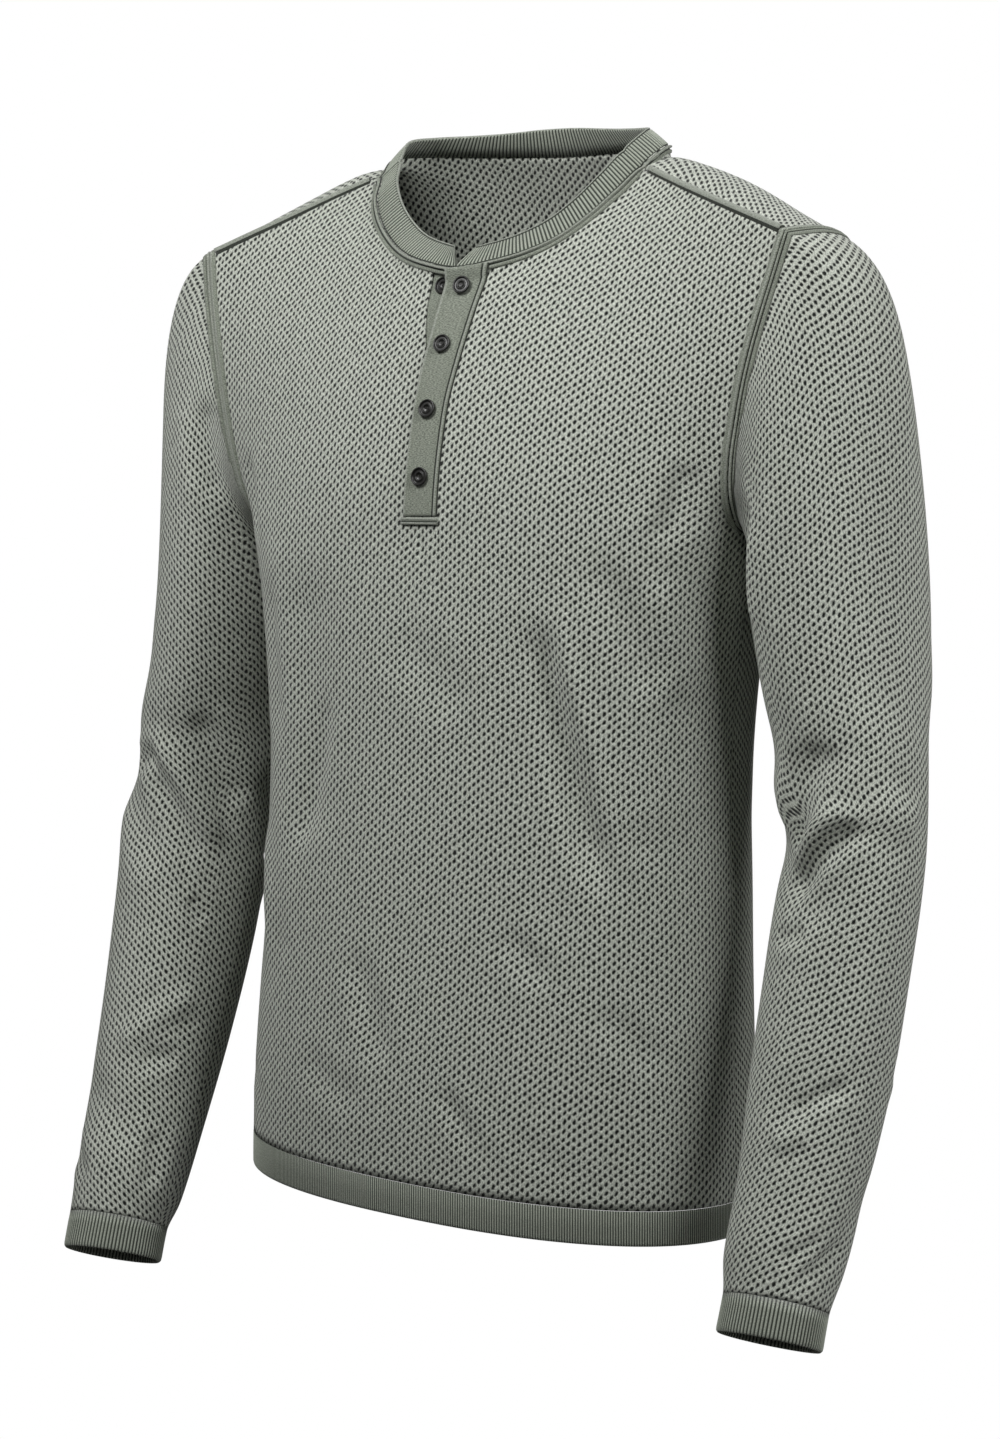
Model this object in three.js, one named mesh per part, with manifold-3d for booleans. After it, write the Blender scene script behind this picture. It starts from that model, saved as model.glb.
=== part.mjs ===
// Long-sleeved henley shirt in open eyelet knit, filled out as it is worn, in millimetres.
// +Z is up, the front faces -Y and the wearer's left side is +X. The origin lies on the
// mid-plane, level with the highest points of the neck seam on the shoulders.
import * as THREE from 'three';
import { mergeVertices } from 'three/addons/utils/BufferGeometryUtils.js';
import Module from 'manifold-3d';

const wasm = await Module();
wasm.setup();

// Cloth and seams
const WALL = 1.8;
const SEAM_GAP = 0.3;
const BAND_WALL = 2.2;
const TAPE_LIFT = 0.5;

// Levels
const ARMPIT_Z = -242;
const HEM_SEAM_Z = -629;
const HEM_BAND_HEIGHT = 21;
const HEM_TILT = 12.5;
const HEM_TILT_FROM_Z = -420;
const RIGHT_SHOULDER_DROP = 3.5;
const SHOULDER_DROP_X = { from: 100, to: 170 };
const SHOULDER_DROP_Z = { from: -210, to: -80 };

// Neck band: a rib strip whose ends part in a notch at centre front
const NECK_BAND_GAP = 0.6;
const NECK_BAND_LIFT = 0.03;
const NECK_NOTCH = { left: 8, right: 15, reach: 32 };
const NECK_AXIS_Y = 3;
const NECK_LEAN = [
  { turn: 0, inward: 15, rise: 13 },
  { turn: 60, inward: 14, rise: 12 },
  { turn: 110, inward: 13, rise: 11 },
  { turn: 180, inward: 7, rise: 19 },
];
const NECK_RIB_PITCH = 1.95;
const CUFF_RIB_PITCH = 2.3;
const RIB_RELIEF = 0.3;

// Strips on the panels, as sections: inward from the seam, and out from the cloth
const NECK_TAPE = [
  { inward: 0.6, out: 0 },
  { inward: 5, out: 0 },
  { inward: 5, out: 0.9 },
  { inward: 2.4, out: 1 },
  { inward: 1.9, out: 1.8 },
  { inward: 1, out: 1.8 },
  { inward: 0.6, out: 1.1 },
];
const ARMHOLE_TAPE = [
  { inward: 0.9, out: 0 },
  { inward: 5.4, out: 0 },
  { inward: 5.4, out: 0.9 },
  { inward: 3.4, out: 1.5 },
  { inward: 2.7, out: 0.8 },
  { inward: 1.9, out: 1.5 },
  { inward: 0.9, out: 0.9 },
];
const SHOULDER_RIDGE = [
  { inward: 0.5, out: 0 },
  { inward: 4.7, out: 0 },
  { inward: 4.5, out: 1 },
  { inward: 2.6, out: 2.1 },
  { inward: 0.8, out: 1.5 },
];
const SHOULDER_RIDGE_STOPS = { neck: 6, armhole: 6.6 };

// Placket: edges and cloth, from the neck down. The over strip's free edge and its seam edge
// are on either side of the middle, and it gapes a little at the top
const PLACKET = [
  { z: -232, free: -11.5, seam: 12.5, gape: 0 },
  { z: -165, free: -11, seam: 13.5, gape: 0 },
  { z: -135, free: -9, seam: 17, gape: 0.2 },
  { z: -110, free: -6.5, seam: 20, gape: 0.9 },
  { z: -78, free: -5, seam: 23.5, gape: 1.6 },
];
const PLACKET_FOOT_Z = -230;
const PLACKET_BELOW_SEAM = 5.8;
const PLACKET_ROWS = 9;
const PLACKET_WALL = 1.3;
const UNDER_PLACKET = { right: -19.5, left: 11, top: -80.5, behind: 0.7, behindTop: 2.1 };
const SLIT = [
  { x: -16, z: -60 },
  { x: -15.5, z: -82 },
  { x: -9.5, z: -122 },
  { x: -9, z: -226 },
  { x: 8, z: -226 },
  { x: 8, z: -60 },
];
const PLACKET_END = { right: -13, left: 14 };
const PLACKET_END_SECTION = [
  { z: -230.6, out: 0 },
  { z: -230.6, out: 1.4 },
  { z: -231.8, out: 2 },
  { z: -232.8, out: 1.3 },
  { z: -233.8, out: 2 },
  { z: -235.2, out: 1.3 },
  { z: -235.2, out: 0 },
];

// Buttons on the over strip from the top, and one on the under strip beside the first
const BUTTONS = [
  { x: 8.2, z: -89.5 },
  { x: 3.2, z: -125.5 },
  { x: 0.4, z: -165 },
  { x: 0.2, z: -206 },
];
const UNDER_BUTTON = { x: -8.6, z: -89.5 };
const BUTTON_SIDES = 20;
const BUTTON_PROFILE = [
  { radius: 0, height: 0 },
  { radius: 4.6, height: 0 },
  { radius: 5.7, height: 0.9 },
  { radius: 5.2, height: 2 },
  { radius: 3.9, height: 1.5 },
  { radius: 0, height: 1.3 },
];

// Grid density
const HALF_COLUMNS = 14;
const NECK_COLUMNS = 6;
const LOWER_ROWS = 12;
const FRONT_UPPER_ROWS = 9;
const BACK_UPPER_ROWS = 12;
const CAP_ROWS = 7;
const ARM_ROWS = 13;

// Share of a half panel's width that ends on the neck seam
const NECK_SHARE = NECK_COLUMNS / HALF_COLUMNS;

// Sections of the body, from the hem to the armpits
const BODY = [
  { z: -654, half: 167, front: -123, back: 98, side: -8, power: 2.3 },
  { z: -593, half: 166, front: -122, back: 97, side: -8, power: 2.3 },
  { z: -484, half: 162, front: -113, back: 98, side: -5, power: 2.3 },
  { z: -373, half: 160, front: -107, back: 104, side: -2, power: 2.3 },
  { z: -300, half: 166, front: -105, back: 108, side: 0, power: 2.35 },
  { z: -242, half: 176, front: -102, back: 108, side: 0, power: 2.4 },
];

// Neck seam from centre front round the wearer's left side to centre back
const NECK_FRONT = [
  { x: 0, y: -63, z: -78 },
  { x: 34, y: -56, z: -72 },
  { x: 61, y: -42, z: -60 },
  { x: 82, y: -27, z: -41 },
  { x: 93, y: -12, z: -24 },
  { x: 97, y: -3, z: -17 },
];
const NECK_BACK = [
  { x: 97, y: -3, z: -17 },
  { x: 101, y: 14, z: -5 },
  { x: 92, y: 38, z: -1 },
  { x: 66, y: 56, z: -1 },
  { x: 34, y: 65, z: -2 },
  { x: 0, y: 68, z: -3 },
];

// Crest of the shoulder and the shoulder seam that lies in front of it, neck to armhole
const CREST = [
  { x: 101, y: 14, z: -5 },
  { x: 125, y: 17, z: -12 },
  { x: 177, y: 9, z: -33 },
  { x: 203, y: 5, z: -48 },
  { x: 229, y: 3, z: -60 },
];
const SHOULDER_SEAM = [
  { x: 97, y: -3, z: -17 },
  { x: 131, y: -15, z: -30 },
  { x: 166, y: -24, z: -43 },
  { x: 213.5, y: -30, z: -61 },
];

// Armhole seam: the front half from the armpit up to the shoulder seam, and the back half
// from the armpit up to the crest and over it to the same point
const ARMHOLE_FRONT = [
  { x: 176, y: 0, z: -242 },
  { x: 177, y: -28, z: -231 },
  { x: 181, y: -41, z: -205 },
  { x: 186, y: -44, z: -180 },
  { x: 192, y: -44, z: -150 },
  { x: 199, y: -41, z: -120 },
  { x: 208, y: -35, z: -85 },
  { x: 213.5, y: -30, z: -61 },
];
const ARMHOLE_BACK = [
  { x: 176, y: 0, z: -242 },
  { x: 178, y: 27, z: -231 },
  { x: 183, y: 45, z: -200 },
  { x: 190, y: 53, z: -160 },
  { x: 199, y: 52, z: -120 },
  { x: 213, y: 41, z: -85 },
  { x: 224, y: 23, z: -66 },
  { x: 229, y: 3, z: -60 },
  { x: 223, y: -15, z: -59 },
  { x: 213.5, y: -30, z: -61 },
];

// Shape of a panel's columns above the armpits: lift sets how far a column keeps upright,
// over and up give the slope at which it reaches its top
const FRONT_COLUMNS = [
  { share: 0, lift: 170, over: 60, up: 120 },
  { share: 0.45, lift: 230, over: 110, up: 130 },
  { share: 1, lift: 200, over: 60, up: 90 },
];
const BACK_COLUMNS = [
  { share: 0, lift: 280, over: -90, up: 160 },
  { share: 0.4, lift: 300, over: -170, up: 40 },
  { share: 0.7, lift: 300, over: -160, up: 0 },
  { share: 1, lift: 240, over: -90, up: 0 },
];
const ARMHOLE_PULL_FROM = 0.5;
const EASING_PASSES = { front: 8, back: 2 };
const EASING_RAMP_ROWS = 3;

// Arm axis, and the sleeve's half widths along its longer axis, which is turned forward by
// skew degrees from straight out to the side, and along the shorter one
const ARM = [
  { z: -702, x: 239.5, y: -97, long: 31, short: 31, skew: 30 },
  { z: -681, x: 240, y: -89.5, long: 31.5, short: 31, skew: 30 },
  { z: -660, x: 239.5, y: -80, long: 35, short: 35, skew: 30 },
  { z: -620, x: 240.5, y: -62, long: 38, short: 37, skew: 30 },
  { z: -560, x: 241, y: -39, long: 42.5, short: 41, skew: 30 },
  { z: -498, x: 241.5, y: -19, long: 46.5, short: 41.5, skew: 33 },
  { z: -430, x: 242.5, y: -1, long: 49, short: 42, skew: 40 },
  { z: -383, x: 237.5, y: 8, long: 51, short: 45, skew: 60 },
  { z: -340, x: 232.5, y: 12, long: 57, short: 46, skew: 95 },
  { z: -300, x: 228, y: 13, long: 61, short: 46.5, skew: 102 },
];

// Largest folds, troughs with a negative depth: on the panels by x and z, and on the sleeves
// by the turn about the arm, which starts outwards and passes the front, and by z
const PANEL_FOLDS = [
  { on: 'front', x1: 81, z1: -313, x2: 115, z2: -419, width: 17, depth: -4 },
  { on: 'front', x1: 96, z1: -298, x2: 131, z2: -405, width: 14, depth: 3 },
  { on: 'front', x1: -118, z1: -262, x2: -117, z2: -465, width: 20, depth: 3 },
  { on: 'front', x1: -88, z1: -295, x2: -84, z2: -406, width: 22, depth: -4 },
  { on: 'back', x1: 70, z1: -300, x2: 118, z2: -415, width: 22, depth: -4 },
  { on: 'back', x1: -72, z1: -310, x2: -112, z2: -430, width: 20, depth: -4 },
  { on: 'back', x1: 0, z1: -395, x2: 48, z2: -470, width: 26, depth: -3 },
];
const FOLD_TURN_RADIUS = 42;
const SLEEVE_FOLDS = [
  { on: 'left', turn1: 150, z1: -425, turn2: 95, z2: -452, width: 17, depth: -4.5 },
  { on: 'left', turn1: 150, z1: -392, turn2: 90, z2: -398, width: 16, depth: 2.5 },
  { on: 'left', turn1: 215, z1: -420, turn2: 285, z2: -446, width: 18, depth: -4 },
  { on: 'left', turn1: 87, z1: -566, turn2: 50, z2: -555, width: 13, depth: -2.5 },
  { on: 'left', turn1: 26, z1: -662, turn2: -14, z2: -628, width: 13, depth: -2.5 },
  { on: 'right', turn1: 30, z1: -392, turn2: 78, z2: -440, width: 18, depth: -4.5 },
  { on: 'right', turn1: 40, z1: -430, turn2: 80, z2: -466, width: 14, depth: 2.5 },
  { on: 'right', turn1: 210, z1: -412, turn2: 290, z2: -440, width: 18, depth: -4 },
  { on: 'right', turn1: 60, z1: -600, turn2: 105, z2: -618, width: 13, depth: -2.5 },
];
const CUFF_TOP_Z = -681;
const CUFF_BOTTOM_Z = -702;
const CAP_END_Z = -300;

// How the sleeve leaves the armhole: direction and reach of its rows at the seam, and the
// reach with which they run into the arm, by the turn round the sleeve from its outer side
// over the front
const CAP = [
  { turn: 0, out: 1, back: 0, drop: -0.45, leave: 200, arrive: 270 },
  { turn: 90, out: 1, back: -0.25, drop: -0.3, leave: 90, arrive: 190 },
  { turn: 180, out: 0.75, back: 0, drop: 0, leave: 30, arrive: 70 },
  { turn: 270, out: 1, back: 0.35, drop: -0.3, leave: 90, arrive: 190 },
  { turn: 360, out: 1, back: 0, drop: -0.45, leave: 200, arrive: 270 },
];

const group = new THREE.Group();

const mix = (a, b, f) => a + (b - a) * f;
const clamp01 = (f) => Math.min(1, Math.max(0, f));
const ease = (f) => clamp01(f) ** 2 * (3 - 2 * clamp01(f));
const point = (row) => new THREE.Vector3(row.x, row.y, row.z);
const curveThrough = (rows) => new THREE.CatmullRomCurve3(rows.map(point), false, 'centripetal');

// Reads one column of a table at a place between its rows, along a smooth curve
function reading(table, key, place, name) {
  const last = table.length - 1;
  let i = 0;
  while (i < last - 1 && place > table[i + 1][key]) i += 1;
  const slope = (k) => {
    const low = table[Math.max(0, k - 1)];
    const high = table[Math.min(last, k + 1)];
    return (high[name] - low[name]) / (high[key] - low[key]);
  };
  const span = table[i + 1][key] - table[i][key];
  const f = clamp01((place - table[i][key]) / span);
  const [a, b] = [table[i][name], table[i + 1][name]];
  const f2 = f * f;
  const f3 = f2 * f;
  return a * (2 * f3 - 3 * f2 + 1) + b * (3 * f2 - 2 * f3)
    + span * (slope(i) * (f3 - 2 * f2 + f) + slope(i + 1) * (f3 - f2));
}

function hermite(start, leaving, end, arriving, f) {
  const f2 = f * f;
  const f3 = f2 * f;
  return new THREE.Vector3()
    .addScaledVector(start, 2 * f3 - 3 * f2 + 1)
    .addScaledVector(leaving, f3 - 2 * f2 + f)
    .addScaledVector(end, 3 * f2 - 2 * f3)
    .addScaledVector(arriving, f3 - f2);
}

// Places count + 1 points at equal distances along a line of points
function evenly(line, count) {
  const reach = [0];
  for (let i = 1; i < line.length; i += 1) {
    reach.push(reach[i - 1] + line[i].distanceTo(line[i - 1]));
  }
  const total = reach[reach.length - 1];
  const out = [];
  let i = 1;
  for (let k = 0; k <= count; k += 1) {
    const want = (total * k) / count;
    while (i < line.length - 1 && reach[i] < want) i += 1;
    const f = clamp01((want - reach[i - 1]) / (reach[i] - reach[i - 1] || 1));
    out.push(line[i - 1].clone().lerp(line[i], f));
  }
  return out;
}

// Half of a level section of the body, from the centre to the side seam
function sectionHalf(side, z, count) {
  const half = reading(BODY, 'z', z, 'half');
  const depth = reading(BODY, 'z', z, side);
  const seam = reading(BODY, 'z', z, 'side');
  const power = reading(BODY, 'z', z, 'power');
  const line = [];
  const fine = 120;
  for (let i = 0; i <= fine; i += 1) {
    const turn = (Math.PI / 2) * (i / fine);
    const x = half * Math.sin(turn) ** (2 / power);
    const y = seam + (depth - seam) * Math.cos(turn) ** (2 / power);
    line.push(new THREE.Vector3(x, y, z));
  }
  return evenly(line, count);
}

const neck = { front: curveThrough(NECK_FRONT), back: curveThrough([...NECK_BACK].reverse()) };
const armhole = { front: curveThrough(ARMHOLE_FRONT), back: curveThrough(ARMHOLE_BACK) };
const crest = curveThrough(CREST);
const shoulderSeam = curveThrough(SHOULDER_SEAM);

// One column of a half panel from the armpit level to the neck or the shoulder seam
function upperColumn(side, share, foot, rows) {
  const onNeck = share < NECK_SHARE - 1e-6;
  const along = onNeck ? share / NECK_SHARE : (share - NECK_SHARE) / (1 - NECK_SHARE);
  const top = onNeck ? neck[side].getPointAt(along) : shoulderSeam.getPointAt(along);
  const columns = side === 'front' ? FRONT_COLUMNS : BACK_COLUMNS;
  const lift = reading(columns, 'share', share, 'lift');
  const over = reading(columns, 'share', share, 'over');
  const up = reading(columns, 'share', share, 'up');
  const fine = 60;
  const line = [];
  if (side === 'front') {
    const leaving = new THREE.Vector3((top.x - foot.x) * 0.4, 0, lift);
    const arriving = new THREE.Vector3((top.x - foot.x) * 0.6, over, up);
    for (let i = 0; i <= fine; i += 1) line.push(hermite(foot, leaving, top, arriving, i / fine));
  } else {
    const high = onNeck ? top : crest.getPointAt(along);
    const leaving = new THREE.Vector3((high.x - foot.x) * 0.4, 0, lift);
    const arriving = new THREE.Vector3((high.x - foot.x) * 0.3, over, up);
    for (let i = 0; i <= fine; i += 1) line.push(hermite(foot, leaving, high, arriving, i / fine));
    if (!onNeck) {
      const reach = high.distanceTo(top);
      const forward = new THREE.Vector3(0, -reach, 0);
      const falling = new THREE.Vector3(0, top.y - high.y, 2 * (top.z - high.z));
      for (let i = 1; i <= 20; i += 1) line.push(hermite(high, forward, top, falling, i / 20));
    }
  }
  return evenly(line, rows);
}

// Half of a panel as rows of points from the hem seam up, each from the centre outwards
function halfPanel(side) {
  const upperRows = side === 'front' ? FRONT_UPPER_ROWS : BACK_UPPER_ROWS;
  const rows = [];
  for (let r = 0; r <= LOWER_ROWS; r += 1) {
    rows.push(sectionHalf(side, mix(HEM_SEAM_Z, ARMPIT_Z, r / LOWER_ROWS), HALF_COLUMNS));
  }
  const feet = rows[LOWER_ROWS];
  const edge = armhole[side].getSpacedPoints(upperRows);
  const upper = feet.map((foot, c) => upperColumn(side, c / HALF_COLUMNS, foot, upperRows));
  const outer = upper[HALF_COLUMNS];
  const pulls = edge.map((p, r) => p.clone().sub(outer[r]));
  for (let r = 1; r <= upperRows; r += 1) {
    rows.push(upper.map((column, c) => {
      const near = clamp01((c / HALF_COLUMNS - ARMHOLE_PULL_FROM) / (1 - ARMHOLE_PULL_FROM));
      return column[r].clone().addScaledVector(pulls[r], near ** 2);
    }));
  }
  return rows;
}

// Evens out a panel from side to side above the armpits and leaves its edges where they are
function eased(grid, passes) {
  let now = grid;
  for (let pass = 0; pass < passes; pass += 1) {
    now = now.map((row, r) => row.map((p, c) => {
      const inside = r > LOWER_ROWS && r < grid.length - 1 && c > 0 && c < row.length - 1;
      if (!inside) return p;
      const share = 0.5 * clamp01((r - LOWER_ROWS) / EASING_RAMP_ROWS);
      return p.clone().lerp(row[c - 1].clone().add(row[c + 1]).multiplyScalar(0.5), share);
    }));
  }
  return now;
}

// The hem hangs a little lower at the wearer's left
function tilted(p) {
  const far = ease((HEM_TILT_FROM_Z - p.z) / (HEM_TILT_FROM_Z - HEM_SEAM_Z));
  return p.clone().setZ(p.z - (HEM_TILT * far * p.x) / BODY[0].half);
}

const copied = (grid) => grid.map((row) => row.map((p) => p.clone()));
const mirrored = (p) => new THREE.Vector3(-p.x, p.y, p.z);

function panelGrid(side) {
  const whole = halfPanel(side).map((row) => {
    const rest = row.slice(1).map(mirrored).reverse();
    return [...rest, ...row].map(tilted);
  });
  return eased(whole, EASING_PASSES[side]);
}

// Outward normals of a grid of points; closed says that each row is a ring
function gridNormals(grid, closed, outwards) {
  const rows = grid.length;
  const cols = grid[0].length;
  return grid.map((row, r) => row.map((p, c) => {
    const left = closed ? row[(c + cols - 1) % cols] : row[Math.max(0, c - 1)];
    const right = closed ? row[(c + 1) % cols] : row[Math.min(cols - 1, c + 1)];
    const below = grid[Math.max(0, r - 1)][c];
    const above = grid[Math.min(rows - 1, r + 1)][c];
    const across = right.clone().sub(left);
    const along = above.clone().sub(below);
    return across.cross(along).normalize().multiplyScalar(outwards);
  }));
}

// A closed wall between an outer and an inner grid of points, with as many rows each but not
// always as many columns. A closed wall runs round a ring. Each quad is cut along its shorter
// diagonal, so that the two halves of a panel match
function wall(outerGrid, innerGrid, closed) {
  const shut = (grid) => (closed ? grid.map((row) => [...row, row[0]]) : grid);
  const [outer, inner] = [shut(outerGrid), shut(innerGrid)];
  const top = outer.length - 1;
  const positions = [];
  const put = (...corners) => corners.forEach((p) => positions.push(p.x, p.y, p.z));
  const sheet = (grid, inside) => {
    for (let r = 0; r < top; r += 1) {
      for (let c = 0; c < grid[0].length - 1; c += 1) {
        const [p, q, t, u] = [grid[r][c], grid[r][c + 1], grid[r + 1][c + 1], grid[r + 1][c]];
        const slanted = p.distanceTo(t) < q.distanceTo(u) - 1e-6;
        const halves = slanted ? [[p, q, t], [p, t, u]] : [[p, q, u], [q, t, u]];
        halves.forEach((half) => put(...(inside ? half.reverse() : half)));
      }
    }
  };
  const rim = (a, b, inside) => {
    let [i, j] = [0, 0];
    while (i < a.length - 1 || j < b.length - 1) {
      const stepA = j === b.length - 1
        || (i < a.length - 1 && (i + 1) / (a.length - 1) <= (j + 1) / (b.length - 1));
      const triangle = stepA ? [a[i], b[j], a[i + 1]] : [a[i], b[j], b[j + 1]];
      put(...(inside ? triangle.reverse() : triangle));
      if (stepA) i += 1;
      else j += 1;
    }
  };
  sheet(outer, false);
  sheet(inner, true);
  rim(outer[0], inner[0], false);
  rim(outer[top], inner[top], true);
  if (!closed) {
    const ends = [0, -1].map((c) => [outer, inner].map((grid) => grid.map((row) => row.at(c))));
    rim(ends[0][0], ends[0][1], true);
    rim(ends[1][0], ends[1][1], false);
  }
  const geometry = new THREE.BufferGeometry();
  geometry.setAttribute('position', new THREE.Float32BufferAttribute(positions, 3));
  return facingOut(mergeVertices(geometry, 1e-4));
}

// Turns a closed mesh round if its volume comes out negative
function facingOut(geometry) {
  const at = geometry.getAttribute('position');
  const index = geometry.getIndex().array;
  const [a, b, c] = [new THREE.Vector3(), new THREE.Vector3(), new THREE.Vector3()];
  let volume = 0;
  for (let i = 0; i < index.length; i += 3) {
    a.fromBufferAttribute(at, index[i]);
    b.fromBufferAttribute(at, index[i + 1]);
    c.fromBufferAttribute(at, index[i + 2]);
    volume += a.dot(b.clone().cross(c));
  }
  if (volume < 0) {
    for (let i = 0; i < index.length; i += 3) [index[i], index[i + 1]] = [index[i + 1], index[i]];
  }
  return geometry;
}

// A cloth wall of even thickness under a grid of outer points
function shell(grid, normals, closed, thickness = WALL) {
  const inner = grid.map((row, r) => row.map((p, c) => (
    p.clone().addScaledVector(normals[r][c], -thickness)
  )));
  return wall(grid, inner, closed);
}

const KNIT = { color: 0x7d8679, roughness: 0.9, metalness: 0 };

const RIB = { color: 0x6f786b, roughness: 0.9, metalness: 0 };
const PLAIN_KNIT = { color: 0x889080, roughness: 0.88, metalness: 0 };
const HORN = { color: 0x2b2c28, roughness: 0.3, metalness: 0 };

function add(name, geometry, look) {
  geometry.computeVertexNormals();
  const mesh = new THREE.Mesh(geometry, new THREE.MeshStandardMaterial(look));
  mesh.name = name;
  group.add(mesh);
  return mesh;
}

// Ring of a sleeve square to the arm axis; turn 0 is its outer side and a quarter is its front
function armRing(z, turns, swell = () => 0) {
  const step = 12;
  const axis = (level) => new THREE.Vector3(reading(ARM, 'z', level, 'x'), reading(ARM, 'z', level, 'y'), level);
  const centre = axis(z);
  const down = axis(Math.max(ARM[0].z, z - step)).sub(axis(Math.max(ARM[0].z, z - step) + step)).normalize();
  const across = new THREE.Vector3(1, 0, 0).addScaledVector(down, -down.x).normalize();
  const forward = down.clone().cross(across);
  const long = reading(ARM, 'z', z, 'long');
  const short = reading(ARM, 'z', z, 'short');
  const skew = THREE.MathUtils.degToRad(reading(ARM, 'z', z, 'skew'));
  return turns.map((turn, i) => {
    const radius = swell(i) + (long * short)
      / Math.hypot(short * Math.cos(turn - skew), long * Math.sin(turn - skew));
    return centre.clone()
      .addScaledVector(across, radius * Math.cos(turn))
      .addScaledVector(forward, radius * Math.sin(turn));
  });
}

// The left armhole as the edges of the two panels give it: from the armpit up the front to
// the shoulder seam and down the back. Each entry keeps its panel, row and column
function armholeLoop(panels) {
  const edge = 2 * HALF_COLUMNS;
  const loop = [];
  for (let r = 0; r <= FRONT_UPPER_ROWS; r += 1) {
    loop.push({ panel: 'front', r: LOWER_ROWS + r, c: edge });
  }
  for (let r = BACK_UPPER_ROWS - 1; r > 0; r -= 1) {
    loop.push({ panel: 'back', r: LOWER_ROWS + r, c: edge });
  }
  return loop.map((at) => ({ ...at, p: panels[at.panel].grid[at.r][at.c] }));
}

// Turn round the sleeve of each point of the armhole: half a turn at the armpit, none at the
// crest, by distance along the loop
function armholeTurns(loop) {
  const reach = [0];
  for (let i = 1; i <= loop.length; i += 1) {
    reach.push(reach[i - 1] + loop[i % loop.length].p.distanceTo(loop[i - 1].p));
  }
  const total = reach[loop.length];
  const top = reach[loop.reduce((best, at, i) => (at.p.x > loop[best].p.x ? i : best), 0)];
  return loop.map((at, i) => {
    const here = reach[i];
    return here <= top
      ? Math.PI * (1 - here / top)
      : Math.PI * (2 - (here - top) / (total - top));
  });
}

function sleeveGrid(loop) {
  const turns = armholeTurns(loop);
  const first = armRing(CAP_END_Z, turns);
  const below = armRing(CAP_END_Z - 10, turns);
  const rows = [];
  for (let r = 0; r <= CAP_ROWS; r += 1) {
    rows.push(loop.map((at, i) => {
      const read = (name) => reading(CAP, 'turn', THREE.MathUtils.radToDeg(turns[i]), name);
      const leaving = new THREE.Vector3(read('out'), read('back'), read('drop'));
      leaving.normalize().multiplyScalar(read('leave'));
      const arriving = below[i].clone().sub(first[i]).normalize().multiplyScalar(read('arrive'));
      return hermite(at.p, leaving, first[i], arriving, r / CAP_ROWS);
    }));
  }
  for (let r = 1; r <= ARM_ROWS; r += 1) {
    rows.push(armRing(mix(CAP_END_Z, CUFF_TOP_Z, r / ARM_ROWS), turns));
  }
  return rows;
}

// Moves a grid's points along their normals by every fold, and leaves the grid's edges alone
function folded(grid, normals, folds, placeOf, closed) {
  const [rows, columns] = [grid.length - 1, grid[0].length - 1];
  return grid.map((row, r) => row.map((p, c) => {
    const margin = closed ? Math.min(r, rows - r) : Math.min(r, rows - r, c, columns - c);
    const { u, v } = placeOf(p, c);
    let shift = 0;
    for (const fold of folds) {
      const [du, dv] = [fold.u2 - fold.u1, fold.v2 - fold.v1];
      const from = closed ? Math.round((u - fold.u1) / closed) * closed : 0;
      const [pu, pv] = [u - from - fold.u1, v - fold.v1];
      const share = clamp01((pu * du + pv * dv) / (du ** 2 + dv ** 2));
      const off = Math.hypot(pu - share * du, pv - share * dv);
      shift += fold.depth * Math.exp(-((off / fold.width) ** 2));
    }
    return p.clone().addScaledVector(normals[r][c], shift * ease(margin / 2));
  }));
}

function foldedPanel(side, outwards) {
  const grid = panelGrid(side);
  const folds = PANEL_FOLDS.filter(({ on }) => on === side)
    .map((fold) => ({ ...fold, u1: fold.x1, u2: fold.x2, v1: fold.z1, v2: fold.z2 }));
  return folded(grid, gridNormals(grid, false, outwards), folds, (p) => ({ u: p.x, v: p.z }), false);
}

const panels = {
  front: { grid: foldedPanel('front', 1), outwards: 1 },
  back: { grid: foldedPanel('back', -1), outwards: -1 },
};
for (const panel of Object.values(panels)) {
  panel.own = gridNormals(panel.grid, false, panel.outwards);
  panel.normals = copied(panel.own);
}
const loop = armholeLoop(panels);
const sleeve = { grid: sleeveGrid(loop), turns: armholeTurns(loop) };
sleeve.normals = gridNormals(sleeve.grid, true, -1);

// Gives the walls that meet at a seam one direction there, so that they meet edge to edge
function shareNormals(entries) {
  const sum = new THREE.Vector3();
  for (const { piece, r, c, flip } of entries) {
    const n = piece.normals[r][c];
    sum.add(flip ? mirrored(n) : n);
  }
  sum.normalize();
  for (const { piece, r, c, flip } of entries) {
    piece.normals[r][c] = flip ? mirrored(sum) : sum.clone();
  }
}
const edge = 2 * HALF_COLUMNS;
for (const c of [0, edge]) {
  for (let r = 0; r < LOWER_ROWS; r += 1) {
    shareNormals([{ piece: panels.front, r, c }, { piece: panels.back, r, c }]);
  }
}
const tops = { front: LOWER_ROWS + FRONT_UPPER_ROWS, back: LOWER_ROWS + BACK_UPPER_ROWS };
for (let c = 0; c <= edge; c += 1) {
  const away = Math.abs(c - HALF_COLUMNS);
  if (away >= NECK_COLUMNS && away < HALF_COLUMNS) {
    shareNormals([
      { piece: panels.front, r: tops.front, c },
      { piece: panels.back, r: tops.back, c },
    ]);
  }
}
loop.forEach((at, i) => {
  const entries = [{ piece: sleeve, r: 0, c: i }];
  const twins = [];
  if (at.r === LOWER_ROWS || at.r === tops.front && at.panel === 'front') {
    const backRow = at.r === LOWER_ROWS ? LOWER_ROWS : tops.back;
    twins.push({ piece: panels.back, r: backRow });
  }
  twins.push({ piece: panels[at.panel], r: at.r });
  for (const twin of twins) {
    entries.push({ ...twin, c: edge });
    entries.push({ ...twin, c: 0, flip: true });
  }
  shareNormals(entries);
});

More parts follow.
